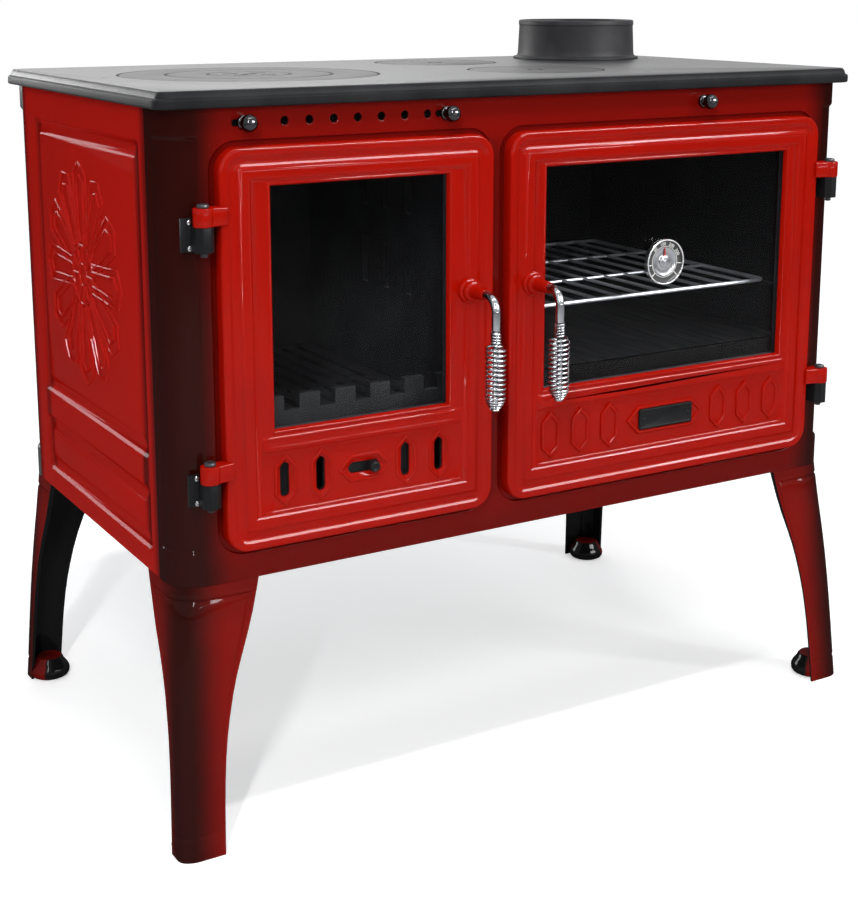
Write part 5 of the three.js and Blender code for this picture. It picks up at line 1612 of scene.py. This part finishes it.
def makeOvenDoor():
    area = doorAreas[1]
    leaf = makeDoor("ovenDoorFrame", area, door["ovenBorder"], 1)
    centre = (area[0] + area[1]) / 2
    rise = relief["rise"]
    lines = []
    for side in (-1, 1):
        for step in range(3):
            x = centre + side * (relief["inner"] + step * relief["pitch"])
            lines.append(hexagonLine(x, relief["size"], relief["band"], rise))
    lines.append(hexagonLine(centre, plateBorder["size"], plateBorder["band"], rise, True))
    unite(leaf, *lines)
    finishPiece(leaf, 30, "oven_door", "red_enamel", doorEnamel, "oven_door_frame")


makeFireDoor()
makeOvenDoor()


print("door furniture")

namePlate = metres({
    "front": 0.9,
    "sunk": 0.4,
    "corner": 3,
    "edge": 0.7,
    "rimSteps": [(1.3, 0), (0.4, -0.35), (0.3, -0.15)],
    "rivetInset": 7,
    "rivetProfile": [(0, -1.1), (2.3, -1.1), (2.2, -0.2), (1.7, 0.3), (0.9, 0.55), (0, 0.6)],
})


def makeNamePlate():
    node = "oven_name_plate"
    start, end = low(node), high(node)
    front = start.y + namePlate["front"]
    area = (start.x, end.x, start.z, end.z)
    plate = frontBlock(area, front, panelFloor + namePlate["sunk"], namePlate["corner"], 6)
    bevelEdges(plate, lambda e: not runs(e, 1) and middleOf(e).y < front + near, namePlate["edge"], 3)
    openEdit(plate)
    chooseFaces(plate, lambda f: f.normal.y < -0.999)
    stepInset(namePlate["rimSteps"])
    closeEdit()
    rivets = []
    for x in (start.x + namePlate["rivetInset"], end.x - namePlate["rivetInset"]):
        spot = (x, front, centreOf(node).z)
        rivets.append(spinProfile("rivet", namePlate["rivetProfile"], spot, roomward, 24))
    joinLoose("namePlate", plate, *rivets)
    finishPiece(plate, 34, "oven_door", "black_iron", blackIron, node)


grip = metres({
    "rod": 5.2,
    "bend": 18,
    "shankDrop": 37,
    # heights from the rod's lower end and from its tip
    "shoulder": [(0, 1), (4.9, 1), (4.9, -0.4), (4.3, -1.0), (3.2, -1.2)],
    "tip": [(3.2, 1.6), (4.4, 1.2), (5.4, 0.2), (5.6, -0.8), (5.0, -1.7), (3.2, -2.2), (0, -2.4)],
    "wire": 1.3,
})
# turns, then in millimetres the pitch, the radius at the start and the radius at the end
coils = [(4.5, 3.4, 5.2, 5.2), (1.0, 4.5, 5.2, 11.2), (10.5, 5.6, 11.2, 11.2), (3.5, 3.5, 11.2, 5.0)]
stepsPerTurn = 20


def makeHandle(side, hand):
    node = side + "_handle_rod"
    rider = side + "_handle"
    x = centreOf(node).x
    z = high(node).z - grip["rod"]
    front = low(node).y + grip["rod"]
    bend = grip["bend"]
    points = [(x, high(node).y, z), (x, front + bend, z)]
    points += [(x, front + bend - ahead, z - bend + rise) for rise, ahead in arc(bend, 0, 90, 16)[1:]]
    shoulder = z - grip["shankDrop"]
    rod = tubeAlong("rod", points + [(x, front, shoulder)], grip["rod"], 6)
    profile = lifted(grip["shoulder"], shoulder) + lifted(grip["tip"], low(node).z)
    joinLoose(side + "HandleRod", rod, spinProfile("shank", profile, (x, front, 0), steps=28))
    finishPiece(rod, 40, rider, "chrome", chromePlate, node)
    node = side + "_handle_spring"
    helix = []
    height = high(node).z - grip["wire"]
    turned = 0.0
    for turns, *lengths in coils:
        pitch, first, last = metres(lengths)
        count = round(turns * stepsPerTurn)
        for share in [step / count for step in range(count)]:
            angle = 2 * math.pi * (turned + share * turns) * hand
            blend = share * share * (3 - 2 * share) if turns < 2 else share ** 1.6
            radius = first + (last - first) * blend
            spot = (x + radius * math.cos(angle), front + radius * math.sin(angle))
            helix.append((*spot, height - pitch * turns * share))
        turned += turns
        height -= pitch * turns
    coil = tubeAlong(side + "HandleSpring", helix, grip["wire"], 2)
    finishPiece(coil, 60, rider, "chrome", springWire, node)


makeNamePlate()
makeHandle("fire", 1)
makeHandle("oven", -1)


print("knobs")

knob = metres({
    "ball": 9.5,
    "stem": 4.2,
    "collar": [(7.4, 0.3), (8, 0.9), (8, 3.4), (7.5, 4.3), (6.4, 4.9), (5.0, 5.2), (4.3, 6.2)],
    "button": [
        (0, 0), (4.2, 0), (4.2, 2.2), (5.4, 3.2), (6.2, 4.2), (6.5, 5.6), (6.5, 10.8),
        (6.2, 12.2), (5.4, 13), (4.4, 13.3), (3.8, 12.9), (0, 12.9),
    ],
    # radius of a knob's stem and how far it reaches back
    "airStem": (2.6, 10.9),
    "damperStem": (3.0, 0.2),
})


def makeBallKnob(name, node, rider, stem):
    radius, back = knob[stem]
    ball = knob["ball"]
    centre = frontY - low(node).y - ball
    start = math.degrees(math.asin(knob["stem"] / ball))
    profile = [(0, -back), (radius, -back), (radius, 0.3 * mm)] + knob["collar"]
    profile += [(across, centre - along) for along, across in arc(ball, start, 180, 16)[:-1]]
    profile.append((0, centre + ball))
    spot = (centreOf(node).x, frontY, centreOf(node).z)
    finishPiece(spinProfile(name, profile, spot, roomward, 40), 40, rider, "chrome", knobChrome, node)


def makeRegisterKnob():
    node = "fire_register_knob"
    spot = (centreOf(node).x, high(node).y, centreOf(node).z)
    piece = spinProfile("registerKnob", knob["button"], spot, roomward, 36)
    finishPiece(piece, 34, "fire_register", "black_iron", blackIron, node)


makeBallKnob("airKnobLeft", "air_knob_left", "air_control", "airStem")
makeBallKnob("airKnobRight", "air_knob_right", "air_control", "airStem")
makeBallKnob("damperKnob", "damper_knob", "damper", "damperStem")
makeRegisterKnob()


print("hinges")

bracket = metres({
    "barrel": 11,
    "clear": 0.2,
    "bore": 4.3,
    "edge": 0.9,
    "flange": 4,
    # distances from the pin to the flange's ends and to its upper part
    "flangeEnds": (5.5, 21),
    # distance from the pin and height over the barrel
    "ear": (9, 9),
    "screwOut": 11,
    "screwHeights": (3.5, 4.5),
    "screwProfile": [(0, -1), (3.4, -1), (3.4, 0.2), (3.1, 0.9), (2.2, 1.5), (0, 1.8)],
    # half length, half width and depth of a screw's cross
    "cross": (2.2, 0.4, 0.9),
    "pinTail": [(0, 0), (3.2, 0), (4.0, 0.8), (4.0, 2.0), (3.5, 2.3), (3.5, 3.2), (4.0, 3.5)],
    # heights from the pin's top
    "pinHead": [(4, -4), (6.2, -4), (6.5, -3.6), (6.5, -1.4), (6.0, -0.5), (5.0, 0), (0, 0)],
    "drive": (3.1, 2),
})


def makeBracket(node, name, x, y, hand):
    bottom, top = low(node).z, high(node).z
    face = frontY - bracket["clear"]
    flange = face - bracket["flange"]
    barrel = addPost(x, y, bottom, top, bracket["barrel"], 8)
    axis = Matrix.Translation((x, y, 0))
    barrel.data.transform(axis @ Matrix.Rotation(math.pi / 8, 4, "Z") @ axis.inverted())
    half = bracket["barrel"] * 0.9
    start, end = [x + hand * reach for reach in bracket["flangeEnds"]]
    out, rise = bracket["ear"]
    unite(
        barrel,
        addBlock((x - half, y, bottom), (x + half, face, top)),
        addBlock((start, flange, bottom), (end, face, top)),
        addBlock((x + hand * out, flange, bottom + 1 * mm), (end, face - 0.1 * mm, top + rise)),
    )
    carve(barrel, addPost(x, y, bottom - over, top + over, bracket["bore"], 24))
    applyModifier(barrel, "BEVEL", width=bracket["edge"], segments=2, limit_method="ANGLE", angle_limit=0.6)
    finishPiece(rename(barrel, name), 32, "stove", "black_iron", blackIron, node)


def makeScrews(node, name, x, hand):
    y = frontY - bracket["clear"] - bracket["flange"]
    x += hand * bracket["screwOut"]
    lower, upper = bracket["screwHeights"]
    long, thin, deep = bracket["cross"]
    heads = []
    for z in (low(node).z + lower, high(node).z + upper):
        head = spinProfile("screw", bracket["screwProfile"], (x, y, z), roomward, 20)
        for across, along in ((long, thin), (thin, long)):
            corner = (x - across, y - over, z - along)
            carve(head, addBlock(corner, (x + across, y - deep, z + along)))
        heads.append(head)
    finishPiece(joinLoose(name, *heads), 34, "stove", "chrome", springWire)


def makePin(node, name, x, y):
    profile = lifted(bracket["pinTail"], low(node).z) + lifted(bracket["pinHead"], high(node).z)
    pin = spinProfile(name, profile, (x, y, 0), steps=32)
    radius, depth = bracket["drive"]
    carve(pin, addPost(x, y, high(node).z - depth, high(node).z + over, radius, 6))
    finishPiece(pin, 32, "stove", "black_iron", pinIron, node)


for level in ("upper", "lower"):
    for side, hand in (("fire", -1), ("oven", 1)):
        bracketNode = f"{side}_hinge_bracket_{level}"
        pinNode = f"{side}_hinge_pin_{level}"
        pinX, pinY = [(low(pinNode)[axis] + high(pinNode)[axis]) / 2 for axis in (0, 1)]
        makeBracket(bracketNode, f"{side}HingeBracket{level.title()}", pinX, pinY, hand)
        makeScrews(bracketNode, f"{side}HingeScrews{level.title()}", pinX, hand)
        makePin(pinNode, f"{side}HingePin{level.title()}", pinX, pinY)


print("thermometer")

# number and its turn from the top, clockwise in degrees
dialNumbers = [("50", -42), ("100", -8), ("200", 27), ("300", 61)]
dialTicks = [-98, 98, 132, -132]
dial = metres({
    "numberRadius": 22.6,
    "numberSize": 6.2,
    "markRise": 0.25,
    "tick": (19.6, 26.4, 0.5),
    "face": 3.4,
    "caseBack": [(0, 0.2), (27.8, 0.2), (28.4, 0.8)],
    # heights from the rim's front
    "caseFront": [
        (28.4, -2.4), (29, -1.9), (29, -0.7), (28.6, -0.15), (28, 0),
        (27.4, -0.2), (27.1, -0.8), (26.9, -4.6), (0, -4.6),
    ],
    # heights from the dial's face
    "plate": [
        (0, -1.4), (26.7, -1.4), (26.7, -0.2), (26.4, 0),
        (19.2, 0), (18.8, -0.3), (18.6, -0.9), (0, -0.9),
    ],
    "dish": [
        (0, -1.1), (18.4, -1.1), (18.7, -0.2), (18.3, 0.5), (17.4, 0.55), (16.4, 0.1),
        (14.4, -0.35), (11, -0.6), (9, -0.35), (8.2, -0.1), (0, -0.1),
    ],
    "band": [(19.3, -0.1), (19.3, 0.25), (19.9, 0.25), (19.9, -0.1)],
    "hub": [
        (0, 0.05), (7.6, 0.05), (8, 0.45), (8, 1.05), (7.4, 1.65),
        (5.6, 2.05), (2.4, 2.15), (1.8, 2.45), (0, 2.5),
    ],
    # half width, heights over the face, and distances from the hub's middle and below the needle's end
    "pointer": (1.9, 0.35, 1.25, 5, 2),
    "pointerEdge": 0.15,
    "pointerLevel": 0.75,
})
pointerTip = (0.22, 0.6, 1)


# The numbers, the ticks and the ring of the dial, a little raised from its face
def makeMarks(x, level, z):
    rise = dial["markRise"]
    marks = []
    for number, degrees in dialNumbers:
        deselect()
        bpy.ops.object.text_add()
        text = bpy.context.object
        text.data.body = number
        text.data.size = dial["numberSize"]
        text.data.align_x = "CENTER"
        text.data.align_y = "CENTER"
        text.data.extrude = rise / 2
        text.data.resolution_u = 3
        pick(text)
        bpy.ops.object.convert(target="MESH")
        text = turn(settle(bpy.context.object, "number"), math.pi / 2, "X")
        turn(shift(text, 0, 0, dial["numberRadius"]), math.radians(degrees), "Y")
        marks.append(shift(text, x, level - rise / 2, z))
    start, end, half = dial["tick"]
    for degrees in dialTicks:
        tick = addBlock((-half, -rise, start), (half, 0.1 * mm, end))
        marks.append(shift(turn(tick, math.radians(degrees), "Y"), x, level, z))
    marks.append(spinProfile("band", dial["band"], (x, level, z), roomward, 64, True))
    joinLoose("dialMarks", *marks)
    finishPiece(marks[0], None, "oven_door", "dial_white", dialWhite, "thermometer_dial")


def makePointer(x, level, z):
    half, under, above, start, short = dial["pointer"]
    tip = high("thermometer_needle").z - short
    corner = (x - half, level - above, z + start)
    pointer = addBlock(corner, (x + half, level - under, tip), "needlePointer")
    openEdit(pointer)
    chooseFaces(pointer, lambda f: f.normal.z > 0.9)
    middle = (x, level - dial["pointerLevel"], tip)
    bpy.ops.transform.resize(value=pointerTip, center_override=middle)
    selectAll()
    bpy.ops.mesh.bevel(offset=dial["pointerEdge"], segments=2, affect="EDGES")
    closeEdit()
    finishPiece(pointer, 34, "needle", "needle_red", pointerRed, "thermometer_needle")


def makeThermometer():
    node = "thermometer_case"
    x, z = centreOf(node).x, centreOf(node).z
    back, front = high(node).y, low(node).y
    level = front + dial["face"]
    caseProfile = dial["caseBack"] + lifted(dial["caseFront"], back - front)
    rows = [
        ("thermometerCase", "oven_door", "chrome", rimSilver, node, back, caseProfile, 72, 36),
        ("dialFace", "oven_door", "black_iron", dialBlack, "thermometer_dial", level, dial["plate"], 72, 30),
        ("dialDish", "oven_door", "chrome", dishSilver, "thermometer_dial", level, dial["dish"], 64, 30),
        ("needle", "needle", "chrome", springWire, "thermometer_needle", level, dial["hub"], 48, 34),
    ]
    for name, rider, slot, paint, shown, y, profile, steps, degrees in rows:
        piece = spinProfile(name, profile, (x, y, z), roomward, steps)
        finishPiece(piece, degrees, rider, slot, paint, shown)
    makeMarks(x, level, z)
    makePointer(x, level, z)


makeThermometer()


print("oven rack")

rackBars = 11
rack = metres({"wire": 2.8, "bar": 2.2, "corner": 9, "stayDrop": 0.4})
# places of the two cross wires, as shares of the rack's depth
stayShares = (0.33, 0.67)


def makeRack():
    node = "oven_rack"
    wire, bar, corner = rack["wire"], rack["bar"], rack["corner"]
    level = centreOf(node).z
    x0, x1 = low(node).x + wire, high(node).x - wire
    y0, y1 = low(node).y + wire, high(node).y - wire
    outline = []
    for x, y, first in ((x1, y1, 0), (x0, y1, 90), (x0, y0, 180), (x1, y0, 270)):
        middleX = x + (corner if x == x0 else -corner)
        middleY = y + (corner if y == y0 else -corner)
        outline += [(middleX + a, middleY + b, level) for a, b in arc(corner, first, first + 90, 6)]
    parts = [tubeAlong("line", outline, wire, 3, True)]
    for step in range(rackBars):
        x = x0 + (x1 - x0) * (step + 1) / (rackBars + 1)
        parts.append(tubeAlong("line", [(x, y, level) for y in (y0, (y0 + y1) / 2, y1)], bar, 2))
    for share in stayShares:
        y = y0 + (y1 - y0) * share
        parts.append(tubeAlong("line", [(x, y, level - rack["stayDrop"]) for x in (x0, 0, x1)], bar, 2))
    joinLoose("ovenRack", *parts)
    finishPiece(parts[0], 50, "rack", "chrome", rackWire, node)


makeRack()


print("inner parts")

innerNodes = [
    (blackIron, "base_plate fire_air_register"),
    (linerIron, "firebox_left_liner firebox_right_liner firebox_back_liner"),
    (grateIron, "fire_grate log_retainer"),
    (sheetSteel, "ash_drawer smoke_partition damper_plate damper_rod air_slide"),
    (sheetSteel, "fire_glass_retainer oven_glass_retainer fire_latch_cam oven_latch_cam"),
    (ovenSteel, "oven_box"),
    (doorPane, "fire_door_glass oven_door_glass"),
    (sealRope, "fire_door_seal oven_door_seal"),
]
for paint, nodes in innerNodes:
    for node in nodes.split():
        coatNode(node, paint)
